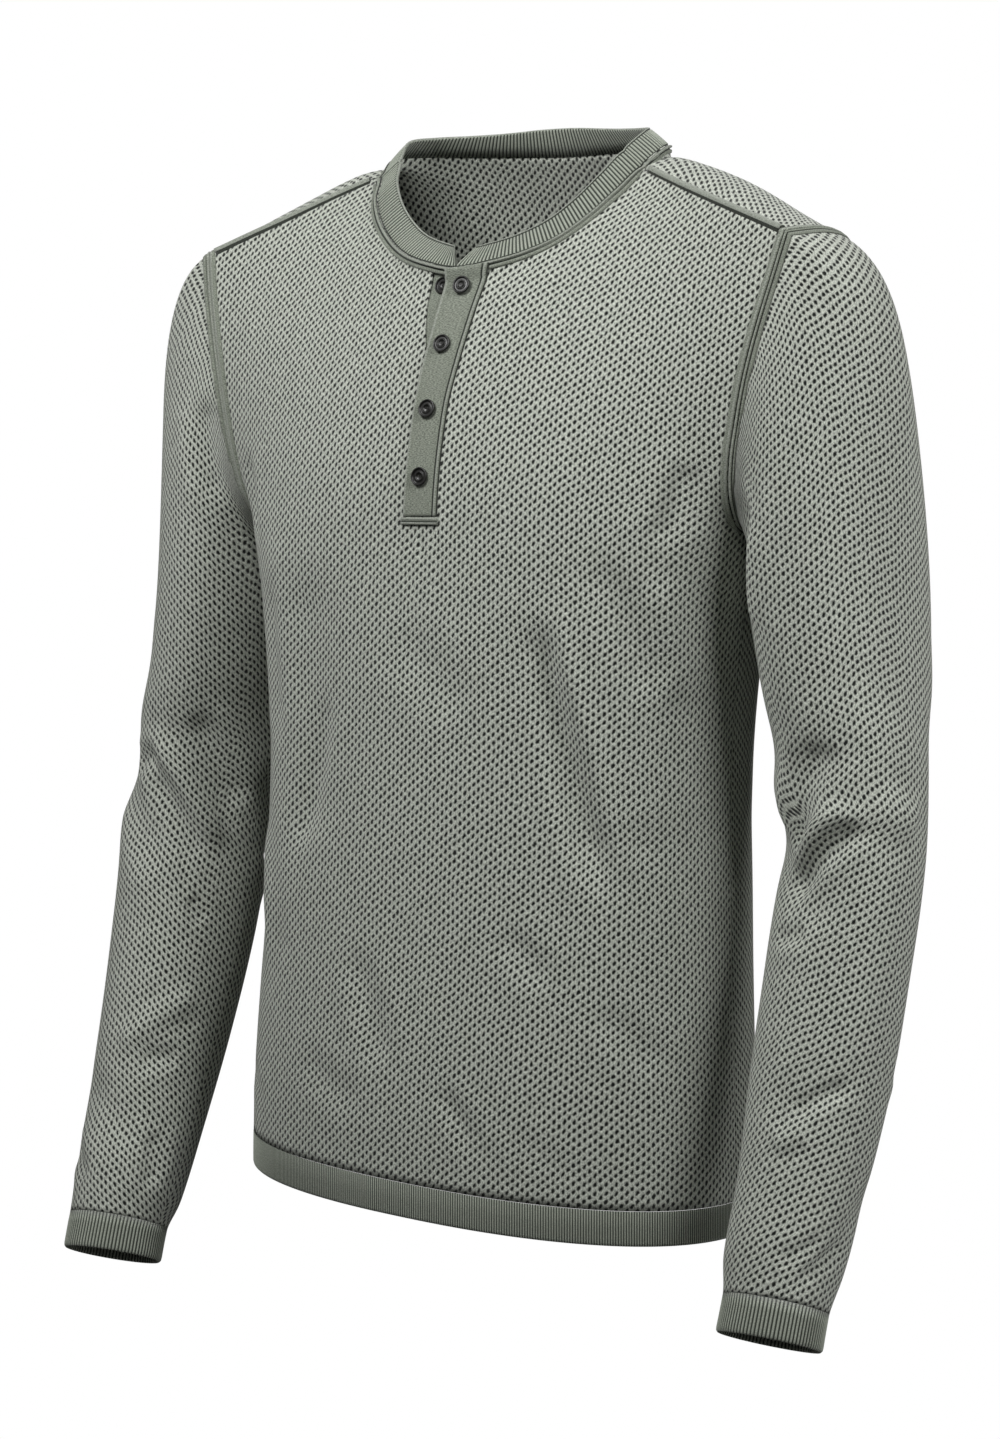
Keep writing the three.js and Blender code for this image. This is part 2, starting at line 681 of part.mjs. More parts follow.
// Draws a grid's edge points back from a seam by half the gap, square to the seam. The edge
// is a list of places in the grid, and inside gives the place beside each one
function drawBack(out, piece, edge, inside, closed) {
  const at = ({ r, c }) => piece.grid[r][c];
  edge.forEach((place, i) => {
    const last = edge.length - 1;
    const before = edge[i > 0 ? i - 1 : (closed ? last : 0)];
    const after = edge[i < last ? i + 1 : (closed ? 0 : last)];
    const along = at(after).clone().sub(at(before));
    const inwards = piece.normals[place.r][place.c].clone().cross(along).normalize();
    if (inwards.dot(at(inside(place)).clone().sub(at(place))) < 0) inwards.negate();
    out[place.r][place.c].addScaledVector(inwards, SEAM_GAP / 2);
  });
}

const places = (count, at) => Array.from({ length: count }, (unused, i) => at(i));

function panelDrawnBack(panel) {
  const out = copied(panel.grid);
  const top = panel.grid.length - 1;
  const acrossRow = (r) => places(edge + 1, (c) => ({ r, c }));
  drawBack(out, panel, acrossRow(0), ({ c }) => ({ r: 1, c }));
  drawBack(out, panel, acrossRow(top), ({ c }) => ({ r: top - 1, c }));
  for (const [c, inner] of [[0, 1], [edge, edge - 1]]) {
    const sideSeam = places(LOWER_ROWS + 1, (r) => ({ r, c }));
    const armholeEdge = places(top - LOWER_ROWS + 1, (i) => ({ r: LOWER_ROWS + i, c }));
    drawBack(out, panel, sideSeam, ({ r }) => ({ r, c: inner }));
    drawBack(out, panel, armholeEdge, ({ r }) => ({ r, c: inner }));
  }
  return out;
}

function sleeveDrawnBack() {
  const out = copied(sleeve.grid);
  const last = sleeve.grid.length - 1;
  const ring = (r) => places(sleeve.grid[0].length, (c) => ({ r, c }));
  drawBack(out, sleeve, ring(0), ({ c }) => ({ r: 1, c }), true);
  drawBack(out, sleeve, ring(last), ({ c }) => ({ r: last - 1, c }), true);
  return out;
}

// Neck seam round from centre front over the wearer's left shoulder, with the way that the
// band leans at each point
const neckFrames = [];
const addNeckFrame = (panel, c) => {
  const top = panel.grid.length - 1;
  const p = panel.grid[top][c];
  const turn = Math.atan2(Math.abs(p.x), NECK_AXIS_Y - p.y);
  const degrees = THREE.MathUtils.radToDeg(turn);
  const inwards = new THREE.Vector3(-p.x, NECK_AXIS_Y - p.y, 0).normalize();
  const lean = inwards.multiplyScalar(reading(NECK_LEAN, 'turn', degrees, 'inward'));
  lean.z = reading(NECK_LEAN, 'turn', degrees, 'rise');
  neckFrames.push({ panel, r: top, c, p, lean, n: panel.own[top][c] });
};
for (let c = HALF_COLUMNS; c < HALF_COLUMNS + NECK_COLUMNS; c += 1) addNeckFrame(panels.front, c);
for (let c = HALF_COLUMNS + NECK_COLUMNS; c >= HALF_COLUMNS - NECK_COLUMNS; c -= 1) {
  addNeckFrame(panels.back, c);
}
for (let c = HALF_COLUMNS - NECK_COLUMNS + 1; c <= HALF_COLUMNS; c += 1) {
  addNeckFrame(panels.front, c);
}
neckFrames.forEach((frame, i) => {
  const before = neckFrames[Math.max(0, i - 1)];
  const after = neckFrames[Math.min(neckFrames.length - 1, i + 1)];
  frame.along = after.p.clone().sub(before.p).normalize();
  if (i === 0 || i === neckFrames.length - 1) frame.along.set(frame.along.x, 0, 0).normalize();
  frame.bandNormal = frame.along.clone().cross(frame.lean).normalize();
  if (frame.bandNormal.dot(frame.n) < 0) frame.bandNormal.negate();
});
// The walls of the panels and of the band share one direction where they meet
for (const frame of neckFrames) {
  frame.mitre = frame.bandNormal.clone().add(frame.n).normalize();
  frame.panel.normals[frame.r][frame.c] = frame.mitre;
}
for (const away of [-NECK_COLUMNS, NECK_COLUMNS]) {
  const twin = panels.front;
  twin.normals[tops.front][HALF_COLUMNS + away] = panels.back.normals[tops.back][HALF_COLUMNS + away];
}

const neckReach = [0];
for (let i = 1; i < neckFrames.length; i += 1) {
  neckReach.push(neckReach[i - 1] + neckFrames[i].p.distanceTo(neckFrames[i - 1].p));
}
const neckLength = neckReach.at(-1);
function neckAt(arc) {
  let i = 1;
  while (i < neckFrames.length - 1 && neckReach[i] < arc) i += 1;
  const f = clamp01((arc - neckReach[i - 1]) / (neckReach[i] - neckReach[i - 1]));
  const blend = (name) => neckFrames[i - 1][name].clone().lerp(neckFrames[i][name], f);
  return { p: blend('p'), lean: blend('lean'), normal: blend('bandNormal'), mitre: blend('mitre') };
}

// Neck band: a raised rib on the outside over a plain inside
function neckBand() {
  const rows = [0, 0.5, 1];
  const line = (count, out, inset) => rows.map((up, r) => places(count + 1, (i) => {
    const arc = mix(NECK_BAND_GAP, neckLength - NECK_BAND_GAP, i / count);
    const fromLeft = clamp01(1 - arc / NECK_NOTCH.reach) ** 2;
    const fromRight = clamp01(1 - (neckLength - arc) / NECK_NOTCH.reach) ** 2;
    const parted = up ** 1.5 * (NECK_NOTCH.left * fromLeft - NECK_NOTCH.right * fromRight);
    const at = neckAt(clamp01((arc + parted) / neckLength) * neckLength);
    const base = at.p.addScaledVector(at.lean, mix(NECK_BAND_LIFT, 1, up));
    const direction = r === 0 ? at.mitre : at.normal;
    return base.addScaledVector(direction, out(i) - inset);
  }));
  const ribs = Math.round(neckLength / NECK_RIB_PITCH);
  const raised = (i) => (i % 2 ? RIB_RELIEF : -RIB_RELIEF);
  const outer = line(2 * ribs, raised, 0);
  const inner = line(2 * neckFrames.length, () => 0, BAND_WALL);
  return wall([outer[0], outer[2]], [inner[0], inner[2]], false);
}

const cloth = {};
for (const [name, panel] of Object.entries(panels)) {
  const geometry = shell(panelDrawnBack(panel), panel.normals, false);
  cloth[name] = new THREE.Mesh(geometry);
}

// A closed mesh of this module and the library's solid, one from the other
function solidOf(geometry) {
  const plain = new THREE.BufferGeometry();
  plain.setAttribute('position', geometry.getAttribute('position').clone());
  if (geometry.getIndex()) plain.setIndex(geometry.getIndex().clone());
  const merged = mergeVertices(plain, 1e-4);
  const mesh = new wasm.Mesh({
    numProp: 3,
    vertProperties: new Float32Array(merged.getAttribute('position').array),
    triVerts: new Uint32Array(merged.getIndex().array),
  });
  return new wasm.Manifold(mesh);
}

function geometryOf(solid) {
  const mesh = solid.getMesh();
  const geometry = new THREE.BufferGeometry();
  geometry.setAttribute('position', new THREE.Float32BufferAttribute(mesh.vertProperties, 3));
  geometry.setIndex(Array.from(mesh.triVerts));
  return geometry;
}

function slitFront() {
  const outline = new THREE.Shape(SLIT.map(({ x, z }) => new THREE.Vector2(x, z)));
  const depth = 200;
  const cutter = new THREE.ExtrudeGeometry(outline, { depth, bevelEnabled: false });
  cutter.rotateX(Math.PI / 2);
  return geometryOf(solidOf(cloth.front.geometry).subtract(solidOf(cutter)));
}

add('front', slitFront(), KNIT);
add('back', cloth.back.geometry, KNIT);
const sleeveOuter = sleeveDrawnBack();
const flipped = (grid) => grid.map((row) => row.map(mirrored));
const flippedIf = (flip, grid) => (flip ? flipped(grid) : grid);
for (const side of ['left', 'right']) {
  const arc = (turn) => THREE.MathUtils.degToRad(turn) * FOLD_TURN_RADIUS;
  const folds = SLEEVE_FOLDS.filter(({ on }) => on === side)
    .map((fold) => ({ ...fold, u1: arc(fold.turn1), u2: arc(fold.turn2), v1: fold.z1, v2: fold.z2 }));
  const placeOf = (p, c) => ({ u: sleeve.turns[c] * FOLD_TURN_RADIUS, v: p.z });
  const outer = folded(sleeveOuter, sleeve.normals, folds, placeOf, arc(360));
  const normals = gridNormals(outer, true, -1);
  normals[0] = sleeve.normals[0];
  const mirror = side === 'right';
  add(`sleeve_${side}`, shell(flippedIf(mirror, outer), flippedIf(mirror, normals), true), KNIT);
}
add('neck_band', neckBand(), RIB);

// Cuffs: raised rib outside, plain inside
function cuff() {
  const levels = [CUFF_TOP_Z - SEAM_GAP / 2, CUFF_BOTTOM_Z];
  const girth = 2 * Math.PI * ARM[1].long;
  const ribs = Math.round(girth / CUFF_RIB_PITCH);
  const turns = (count) => places(count, (i) => (2 * Math.PI * i) / count);
  const raised = (i) => (i % 2 ? RIB_RELIEF : -RIB_RELIEF);
  const outer = levels.map((z) => armRing(z, turns(2 * ribs), raised));
  const inner = levels.map((z) => armRing(z, turns(24), () => -BAND_WALL));
  return wall(outer, inner, true);
}
const leftCuff = cuff();
const rightCuff = leftCuff.clone().scale(-1, 1, 1);
add('cuff_left', leftCuff, RIB);
add('cuff_right', facingOut(rightCuff), RIB);

// Hem band: the ring of both panels' lowest points, carried on down
function hemBand() {
  const ring = [...panels.front.grid[0].slice(0, -1), ...panels.back.grid[0].slice(1).reverse()];
  const normals = [...panels.front.normals[0].slice(0, -1), ...panels.back.normals[0].slice(1).reverse()];
  const drops = [SEAM_GAP / 2, HEM_BAND_HEIGHT / 2, HEM_BAND_HEIGHT];
  const outer = drops.map((drop) => ring.map((p) => p.clone().setZ(p.z - drop)));
  const inner = outer.map((row) => row.map((p, c) => p.clone().addScaledVector(normals[c], -BAND_WALL)));
  return wall(outer, inner, true);
}
add('hem_band', hemBand(), RIB);

// The point of the cloth under a place, looked for along a direction from outside
const ray = new THREE.Raycaster();
const CAST_FROM = 12;
function onCloth(p, n, meshes, reach = CAST_FROM) {
  ray.far = 2 * reach;
  ray.set(p.clone().addScaledVector(n, reach), n.clone().negate());
  const hit = ray.intersectObjects(meshes)[0];
  return hit ? hit.point : p.clone();
}

const between = (a, b, f) => ({
  p: a.p.clone().lerp(b.p, f),
  n: a.n.clone().lerp(b.n, f).normalize(),
  inwards: a.inwards.clone().lerp(b.inwards, f).normalize(),
});

// A strip that lies on the cloth along a line of frames, with an even section. It is lifted
// where the cloth bulges between two frames
const STRIP_SAMPLES = 8;
function strip(frames, section, closed) {
  const meshes = Object.values(cloth);
  const foot = ({ p, n, inwards }, inward) => (
    onCloth(p.clone().addScaledVector(inwards, inward), n, meshes)
  );
  const [near, far] = [section[0].inward, section[1].inward];
  const spans = closed ? frames.length : frames.length - 1;
  const lifts = frames.map(() => 0);
  for (let i = 0; i < spans; i += 1) {
    const j = (i + 1) % frames.length;
    for (let k = 0; k <= STRIP_SAMPLES; k += 1) {
      const frame = between(frames[i], frames[j], k / STRIP_SAMPLES);
      for (const share of [0, 0.5, 1]) {
        const flat = (end) => foot(end, near).lerp(foot(end, far), share);
        const base = flat(frames[i]).lerp(flat(frames[j]), k / STRIP_SAMPLES);
        const bulge = foot(frame, mix(near, far, share)).sub(base).dot(frame.n);
        lifts[i] = Math.max(lifts[i], bulge);
        lifts[j] = Math.max(lifts[j], bulge);
      }
    }
  }
  const rows = frames.map((frame, i) => section.map(({ inward, out }) => (
    foot(frame, inward).addScaledVector(frame.n, TAPE_LIFT + lifts[i] + out)
  )));
  return rod(rows, closed);
}

// Twice as many frames, so that a strip bends with the cloth
function halved(frames, closed) {
  const out = [];
  frames.forEach((frame, i) => {
    out.push(frame);
    if (closed || i < frames.length - 1) out.push(between(frame, frames[(i + 1) % frames.length], 0.5));
  });
  return out;
}

// A solid through sections that have the same number of points
function rod(sections, closed) {
  const positions = [];
  const put = (...corners) => corners.forEach((p) => positions.push(p.x, p.y, p.z));
  const count = sections[0].length;
  const spans = closed ? sections.length : sections.length - 1;
  for (let i = 0; i < spans; i += 1) {
    const [a, b] = [sections[i], sections[(i + 1) % sections.length]];
    for (let k = 0; k < count; k += 1) {
      const m = (k + 1) % count;
      put(a[k], a[m], b[m]);
      put(a[k], b[m], b[k]);
    }
  }
  if (!closed) {
    const flat = (section) => {
      const [o, u] = [section[0], section[1].clone().sub(section[0]).normalize()];
      const far = section[Math.floor(count / 2) + 1].clone().sub(o);
      const v = far.addScaledVector(u, -far.dot(u)).normalize();
      return section.map((p) => p.clone().sub(o)).map((p) => new THREE.Vector2(p.dot(u), p.dot(v)));
    };
    for (const [section, first] of [[sections[0], true], [sections.at(-1), false]]) {
      for (const face of THREE.ShapeUtils.triangulateShape(flat(section), [])) {
        const corners = face.map((k) => section[k]);
        const turned = THREE.ShapeUtils.isClockWise(flat(section)) === first;
        put(...(turned ? corners : corners.reverse()));
      }
    }
  }
  const geometry = new THREE.BufferGeometry();
  geometry.setAttribute('position', new THREE.Float32BufferAttribute(positions, 3));
  return facingOut(mergeVertices(geometry, 1e-4));
}

// Frames along a seam edge: the direction into the panel is square to the edge
function framed(points, closed) {
  return points.map(({ p, n, towards }, i) => {
    const last = points.length - 1;
    const before = points[i > 0 ? i - 1 : (closed ? last : 0)].p;
    const after = points[i < last ? i + 1 : (closed ? 0 : last)].p;
    const inwards = n.clone().cross(after.clone().sub(before)).normalize();
    if (inwards.dot(towards.clone().sub(p)) < 0) inwards.negate();
    return { p, n, inwards };
  });
}

function trimmed(frames, start, end) {
  const cut = (list, length) => {
    const out = [...list];
    const span = out[0].p.distanceTo(out[1].p);
    const blend = (name) => out[0][name].clone().lerp(out[1][name], length / span);
    out[0] = { p: blend('p'), n: blend('n').normalize(), inwards: blend('inwards').normalize() };
    return out;
  };
  return cut(cut(frames, start).reverse(), end).reverse();
}

const neckTapeFrames = framed(neckFrames.map(({ panel, r, c, p, n }) => {
  const outer = c > HALF_COLUMNS ? c + 1 : c - 1;
  const beside = Math.abs(c - HALF_COLUMNS) === NECK_COLUMNS ? panel.grid[r][outer] : panel.grid[r - 1][c];
  return { p, n, towards: beside };
}), false);
const tapeFrames = trimmed(neckTapeFrames, NECK_BAND_GAP, NECK_BAND_GAP);
add('neck_tape', strip(halved(tapeFrames, false), NECK_TAPE, false), PLAIN_KNIT);

// Armhole tapes, along the panels' side of each armhole
const armholeFrames = halved(framed(loop.map((at, i) => {
  const panel = panels[at.panel];
  const n = panel.own[at.r][at.c].clone();
  if (i === 0) n.add(panels.back.own[LOWER_ROWS][edge]).normalize();
  if (i === FRONT_UPPER_ROWS) n.add(panels.back.own[tops.back][edge]).normalize();
  const towards = i === 0 ? panel.grid[at.r - 1][at.c] : panel.grid[at.r][at.c - 1];
  return { p: at.p, n, towards };
}), true), true);
const mirroredFrames = (frames) => frames.map(({ p, n, inwards }) => (
  { p: mirrored(p), n: mirrored(n), inwards: mirrored(inwards) }
));
add('armhole_seam_left', strip(armholeFrames, ARMHOLE_TAPE, true), PLAIN_KNIT);
add('armhole_seam_right', strip(mirroredFrames(armholeFrames), ARMHOLE_TAPE, true), PLAIN_KNIT);

// Raised ridges on the back panel's side of the shoulder seams
const shoulderFrames = framed(places(HALF_COLUMNS - NECK_COLUMNS + 1, (i) => {
  const c = HALF_COLUMNS + NECK_COLUMNS + i;
  const n = panels.back.own[tops.back][c].clone();
  return { p: panels.back.grid[tops.back][c], n, towards: panels.back.grid[tops.back - 1][c] };
}), false);
const ridgeFrames = trimmed(shoulderFrames, SHOULDER_RIDGE_STOPS.neck, SHOULDER_RIDGE_STOPS.armhole);
add('shoulder_seam_left', strip(ridgeFrames, SHOULDER_RIDGE, false), PLAIN_KNIT);
add('shoulder_seam_right', strip(mirroredFrames(ridgeFrames), SHOULDER_RIDGE, false), PLAIN_KNIT);

// Plackets, laid on the front's faces before its slit is cut
const FORWARD = new THREE.Vector3(0, -1, 0);
const FRONT_REACH = { y: -82, by: 40 };
const faceOf = (mesh, x, z) => (
  onCloth(new THREE.Vector3(x, FRONT_REACH.y, z), FORWARD, [mesh], FRONT_REACH.by)
);
const frontFace = (x, z) => faceOf(cloth.front, x, z);
const frontInside = (x, z) => {
  const behind = frontFace(x, z).addScaledVector(FORWARD, -CAST_FROM / 2);
  return onCloth(behind, FORWARD.clone().negate(), [cloth.front]);
};
const neckSeamZ = (x) => reading(NECK_FRONT, 'x', Math.abs(x), 'z');

function overPlacket() {
  const outer = [];
  for (let r = 0; r <= PLACKET_ROWS; r += 1) {
    const level = mix(PLACKET_FOOT_Z, neckSeamZ(0) - PLACKET_BELOW_SEAM, r / PLACKET_ROWS);
    const free = reading(PLACKET, 'z', level, 'free');
    const seam = reading(PLACKET, 'z', level, 'seam');
    const gape = reading(PLACKET, 'z', level, 'gape');
    outer.push([free, 0, mix(0, seam, 0.5), seam].map((x) => {
      const rise = (r / PLACKET_ROWS) * (neckSeamZ(x) - neckSeamZ(0));
      const p = frontFace(x, level + rise);
      const lift = gape * clamp01((seam - x) / (seam - free)) ** 2;
      return p.addScaledVector(FORWARD, TAPE_LIFT + lift + PLACKET_WALL);
    }));
  }
  const inner = outer.map((row) => row.map((p) => p.clone().addScaledVector(FORWARD, -PLACKET_WALL)));
  return wall(outer, inner, false);
}

function underPlacket() {
  const outer = [];
  for (let r = 0; r <= PLACKET_ROWS; r += 1) {
    const level = mix(PLACKET_FOOT_Z, UNDER_PLACKET.top, r / PLACKET_ROWS);
    const behind = mix(UNDER_PLACKET.behind, UNDER_PLACKET.behindTop, (r / PLACKET_ROWS) ** 5);
    outer.push([UNDER_PLACKET.right, 0, UNDER_PLACKET.left].map((x) => (
      frontInside(x, level).addScaledVector(FORWARD, -behind)
    )));
  }
  const inner = outer.map((row) => row.map((p) => p.clone().addScaledVector(FORWARD, -PLACKET_WALL)));
  return wall(outer, inner, false);
}

const placketOver = add('placket_over', overPlacket(), PLAIN_KNIT);
const placketUnder = add('placket_under', underPlacket(), PLAIN_KNIT);
const placketEnd = rod([PLACKET_END.right, 0, PLACKET_END.left].map((x) => (
  PLACKET_END_SECTION.map(({ z, out }) => frontFace(x, z).addScaledVector(FORWARD, TAPE_LIFT + out))
)), false);
add('placket_end', placketEnd, PLAIN_KNIT);

// Buttons: turned discs with a raised rim round a dished face
function button(name, x, z, carrier) {
  const profile = BUTTON_PROFILE.map(({ radius, height }) => new THREE.Vector2(radius, height));
  const geometry = new THREE.LatheGeometry(profile, BUTTON_SIDES);
  const reach = BUTTON_PROFILE[2].radius;
  const at = (dx, dz) => faceOf(carrier, x + dx, z + dz);
  const seat = at(0, 0);
  const up = at(0, reach * 0.9).sub(at(0, -reach * 0.9));
  const across = at(reach * 0.4, 0).sub(at(-reach * 0.4, 0));
  const n = across.cross(up).normalize();
  geometry.deleteAttribute('uv');
  geometry.deleteAttribute('normal');
  const disc = mergeVertices(geometry, 1e-3);
  const turn = new THREE.Quaternion().setFromUnitVectors(new THREE.Vector3(0, 1, 0), n);
  disc.applyQuaternion(turn);
  const raised = seat.addScaledVector(n, SEAM_GAP + 0.15);
  disc.translate(raised.x, raised.y, raised.z);
  add(name, facingOut(disc), HORN);
}
BUTTONS.forEach(({ x, z }, i) => button(`button_${i + 1}`, x, z, placketOver));
button('button_under', UNDER_BUTTON.x, UNDER_BUTTON.z, placketUnder);

// The right shoulder is a little lower than the left, with every piece on it
for (const { geometry } of group.children) {
  const at = geometry.getAttribute('position');
  const [acrossX, upZ] = [SHOULDER_DROP_X, SHOULDER_DROP_Z];
  for (let i = 0; i < at.count; i += 1) {
    const outer = ease((-at.getX(i) - acrossX.from) / (acrossX.to - acrossX.from));
    const upper = ease((at.getZ(i) - upZ.from) / (upZ.to - upZ.from));
    at.setZ(i, at.getZ(i) - RIGHT_SHOULDER_DROP * outer * upper);
  }
  geometry.computeVertexNormals();
}

export default group;
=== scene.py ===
"""Long-sleeved henley shirt in open eyelet knit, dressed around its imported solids.

Sizes are millimetres until a mesh is made. +Z is up, the front faces -Y and +X is the wearer's
left side. The cloth is worked out from the same named sizes as the solids and then refined.
"""

import logging
import math
from dataclasses import dataclass
from enum import Enum

import bmesh
import bpy
import numpy as np
from mathutils import Matrix, Vector
from mathutils.bvhtree import BVHTree


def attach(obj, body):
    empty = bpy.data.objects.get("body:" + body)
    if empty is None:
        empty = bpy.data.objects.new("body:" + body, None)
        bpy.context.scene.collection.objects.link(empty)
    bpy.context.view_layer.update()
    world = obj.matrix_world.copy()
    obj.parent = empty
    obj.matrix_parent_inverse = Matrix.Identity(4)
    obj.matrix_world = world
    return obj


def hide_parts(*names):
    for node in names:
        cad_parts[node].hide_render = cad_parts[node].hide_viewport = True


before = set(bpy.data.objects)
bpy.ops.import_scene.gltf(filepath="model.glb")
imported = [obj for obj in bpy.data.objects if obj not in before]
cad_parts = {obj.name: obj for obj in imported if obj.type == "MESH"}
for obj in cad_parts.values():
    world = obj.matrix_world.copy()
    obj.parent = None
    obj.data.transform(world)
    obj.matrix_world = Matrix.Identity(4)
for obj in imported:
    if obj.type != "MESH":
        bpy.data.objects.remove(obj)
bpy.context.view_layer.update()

log = logging.getLogger("henley")
MM = 0.001


class Side(Enum):
    """The wearer's side that a piece lies on, as the sign of its X."""

    LEFT = 1
    RIGHT = -1


class Table:
    """Rows with named columns, read between the rows along a smooth curve."""

    def __init__(self, columns: str, rows: list[tuple[float, ...]]) -> None:
        """Keeps the rows.

        Args:
            columns: names of the columns, the first being the one it is read by.
            rows: the rows, in rising order of the first column.
        """
        self.names = columns.split()
        self.data = np.array(rows, dtype=float)

    def read(self, name: str, place: np.ndarray | float) -> np.ndarray:
        """Reads a column.

        Args:
            name: the column.
            place: where along the first column.

        Returns:
            The values there.
        """
        key, values = self.data[:, 0], self.data[:, self.names.index(name)]
        last = len(key) - 1
        above = np.minimum(np.arange(last + 1) + 1, last)
        below = np.maximum(np.arange(last + 1) - 1, 0)
        slope = (values[above] - values[below]) / (key[above] - key[below])
        i = np.clip(np.searchsorted(key[1:], place, side="left"), 0, last - 1)
        span = key[i + 1] - key[i]
        f = np.clip((place - key[i]) / span, 0, 1)
        return hermite(values[i], span * slope[i], values[i + 1], span * slope[i + 1], f)


# The body's level sections, from the hem up to the armpits
BODY = Table("z half front back side power", [
    (-654, 167, -123, 98, -8, 2.3),
    (-593, 166, -122, 97, -8, 2.3),
    (-484, 162, -113, 98, -5, 2.3),
    (-373, 160, -107, 104, -2, 2.3),
    (-300, 166, -105, 108, 0, 2.35),
    (-242, 176, -102, 108, 0, 2.4),
])
# Points along the edges of the left half, x y z
NECK_FRONT = [(0, -63, -78), (34, -56, -72), (61, -42, -60), (82, -27, -41), (93, -12, -24),
              (97, -3, -17)]
NECK_BACK = [(0, 68, -3), (34, 65, -2), (66, 56, -1), (92, 38, -1), (101, 14, -5), (97, -3, -17)]
CREST = [(101, 14, -5), (125, 17, -12), (177, 9, -33), (203, 5, -48), (229, 3, -60)]
SHOULDER_SEAM = [(97, -3, -17), (131, -15, -30), (166, -24, -43), (213.5, -30, -61)]
ARMHOLE_FRONT = [(176, 0, -242), (177, -28, -231), (181, -41, -205), (186, -44, -180),
                 (192, -44, -150), (199, -41, -120), (208, -35, -85), (213.5, -30, -61)]
ARMHOLE_BACK = [(176, 0, -242), (178, 27, -231), (183, 45, -200), (190, 53, -160),
                (199, 52, -120), (213, 41, -85), (224, 23, -66), (229, 3, -60),
                (223, -15, -59), (213.5, -30, -61)]
# How the panels' columns leave the armpit's level and reach the top
FRONT_COLUMNS = Table("share lift over up", [(0, 170, 60, 120), (0.45, 230, 110, 130),
                                             (1, 200, 60, 90)])
BACK_COLUMNS = Table("share lift over up", [(0, 280, -90, 160), (0.4, 300, -170, 40),
                                            (0.7, 300, -160, 0), (1, 240, -90, 0)])
# The left sleeve's sections, from the cuff up
ARM = Table("z x y long short skew", [
    (-702, 239.5, -97, 31, 31, 30),
    (-681, 240, -89.5, 31.5, 31, 30),
    (-660, 239.5, -80, 35, 35, 30),
    (-620, 240.5, -62, 38, 37, 30),
    (-560, 241, -39, 42.5, 41, 30),
    (-498, 241.5, -19, 46.5, 41.5, 33),
    (-430, 242.5, -1, 49, 42, 40),
    (-383, 237.5, 8, 51, 45, 60),
    (-340, 232.5, 12, 57, 46, 95),
    (-300, 228, 13, 61, 46.5, 102),
])
# How the sleeve's columns leave the armhole, by turn about the arm
CAP = Table("turn out back drop leave arrive", [
    (0, 1, 0, -0.45, 200, 270),
    (90, 1, -0.25, -0.3, 90, 190),
    (180, 0.75, 0, 0, 30, 70),
    (270, 1, 0.35, -0.3, 90, 190),
    (360, 1, 0, -0.45, 200, 270),
])
# The neck band's lean, by degrees from centre front
NECK_LEAN = Table("turn inward rise", [(0, 15, 13), (60, 14, 12), (110, 13, 11), (180, 7, 19)])
# The over strip's two edges, and how far its free edge stands off
PLACKET = Table("z free seam gape", [
    (-232, -11.5, 12.5, 0),
    (-165, -11, 13.5, 0),
    (-135, -9, 17, 0.2),
    (-110, -6.5, 20, 0.9),
    (-78, -5, 23.5, 1.6),
])


Values = np.ndarray | float


def hermite(start: Values, leaving: Values, end: Values, arriving: Values, f: Values) -> Values:
    """Gives points of a smooth piece of curve between two ends with their slopes."""
    f2, f3 = f * f, f * f * f
    return (start * (2 * f3 - 3 * f2 + 1) + leaving * (f3 - 2 * f2 + f)
            + end * (3 * f2 - 2 * f3) + arriving * (f3 - f2))


def ease(f: np.ndarray | float) -> np.ndarray:
    """Eases a share from 0 to 1."""
    f = np.clip(f, 0, 1)
    return f * f * (3 - 2 * f)


def mix(a: Values, b: Values, f: Values) -> Values:
    """Mixes two values."""
    return a + (b - a) * f


def dropped(grid: np.ndarray) -> np.ndarray:
    """Lowers the right shoulder a little, with every piece of cloth on it."""
    outer = ease((-grid[..., 0] - CUT.drop_x[0]) / (CUT.drop_x[1] - CUT.drop_x[0]))
    upper = ease((grid[..., 2] - CUT.drop_z[0]) / (CUT.drop_z[1] - CUT.drop_z[0]))
    moved = grid.copy()
    moved[..., 2] -= CUT.right_drop * outer * upper
    return moved


def unit(v: np.ndarray) -> np.ndarray:
    """Scales vectors to a length of one."""
    return v / np.maximum(np.linalg.norm(v, axis=-1, keepdims=True), 1e-9)


def reach_along(line: np.ndarray) -> np.ndarray:
    """Gives each point's distance along a line of points."""
    steps = np.linalg.norm(np.diff(line, axis=0), axis=-1)
    return np.concatenate([[0.0], np.cumsum(steps)])


def at_reach(line: np.ndarray, want: np.ndarray) -> np.ndarray:
    """Gives the points at some distances along a line of points."""
    reach = reach_along(line)
    return np.stack([np.interp(want, reach, line[:, k]) for k in range(line.shape[1])], axis=-1)


def evenly(line: np.ndarray, count: int) -> np.ndarray:
    """Places count + 1 points at equal distances along a line of points."""
    return at_reach(line, np.linspace(0, reach_along(line)[-1], count + 1))


def curve_through(points: list[tuple[float, float, float]]) -> np.ndarray:
    """Gives a fine line of points on the centripetal curve through some points."""
    p = np.array(points, dtype=float)
    p = np.vstack([2 * p[0] - p[1], p, 2 * p[-1] - p[-2]])
    f = np.linspace(0, 1, 60, endpoint=False)[:, None]
    pieces = []
    for a, b, c, d in zip(p, p[1:], p[2:], p[3:]):
        d0, d1, d2 = (np.linalg.norm(x) ** 0.5 for x in (b - a, c - b, d - c))
        leaving = ((b - a) / d0 - (c - a) / (d0 + d1) + (c - b) / d1) * d1
        arriving = ((c - b) / d1 - (d - b) / (d1 + d2) + (d - c) / d2) * d1
        pieces.append(hermite(b, leaving, c, arriving, f))
    return np.vstack(pieces + [p[-2:-1]])


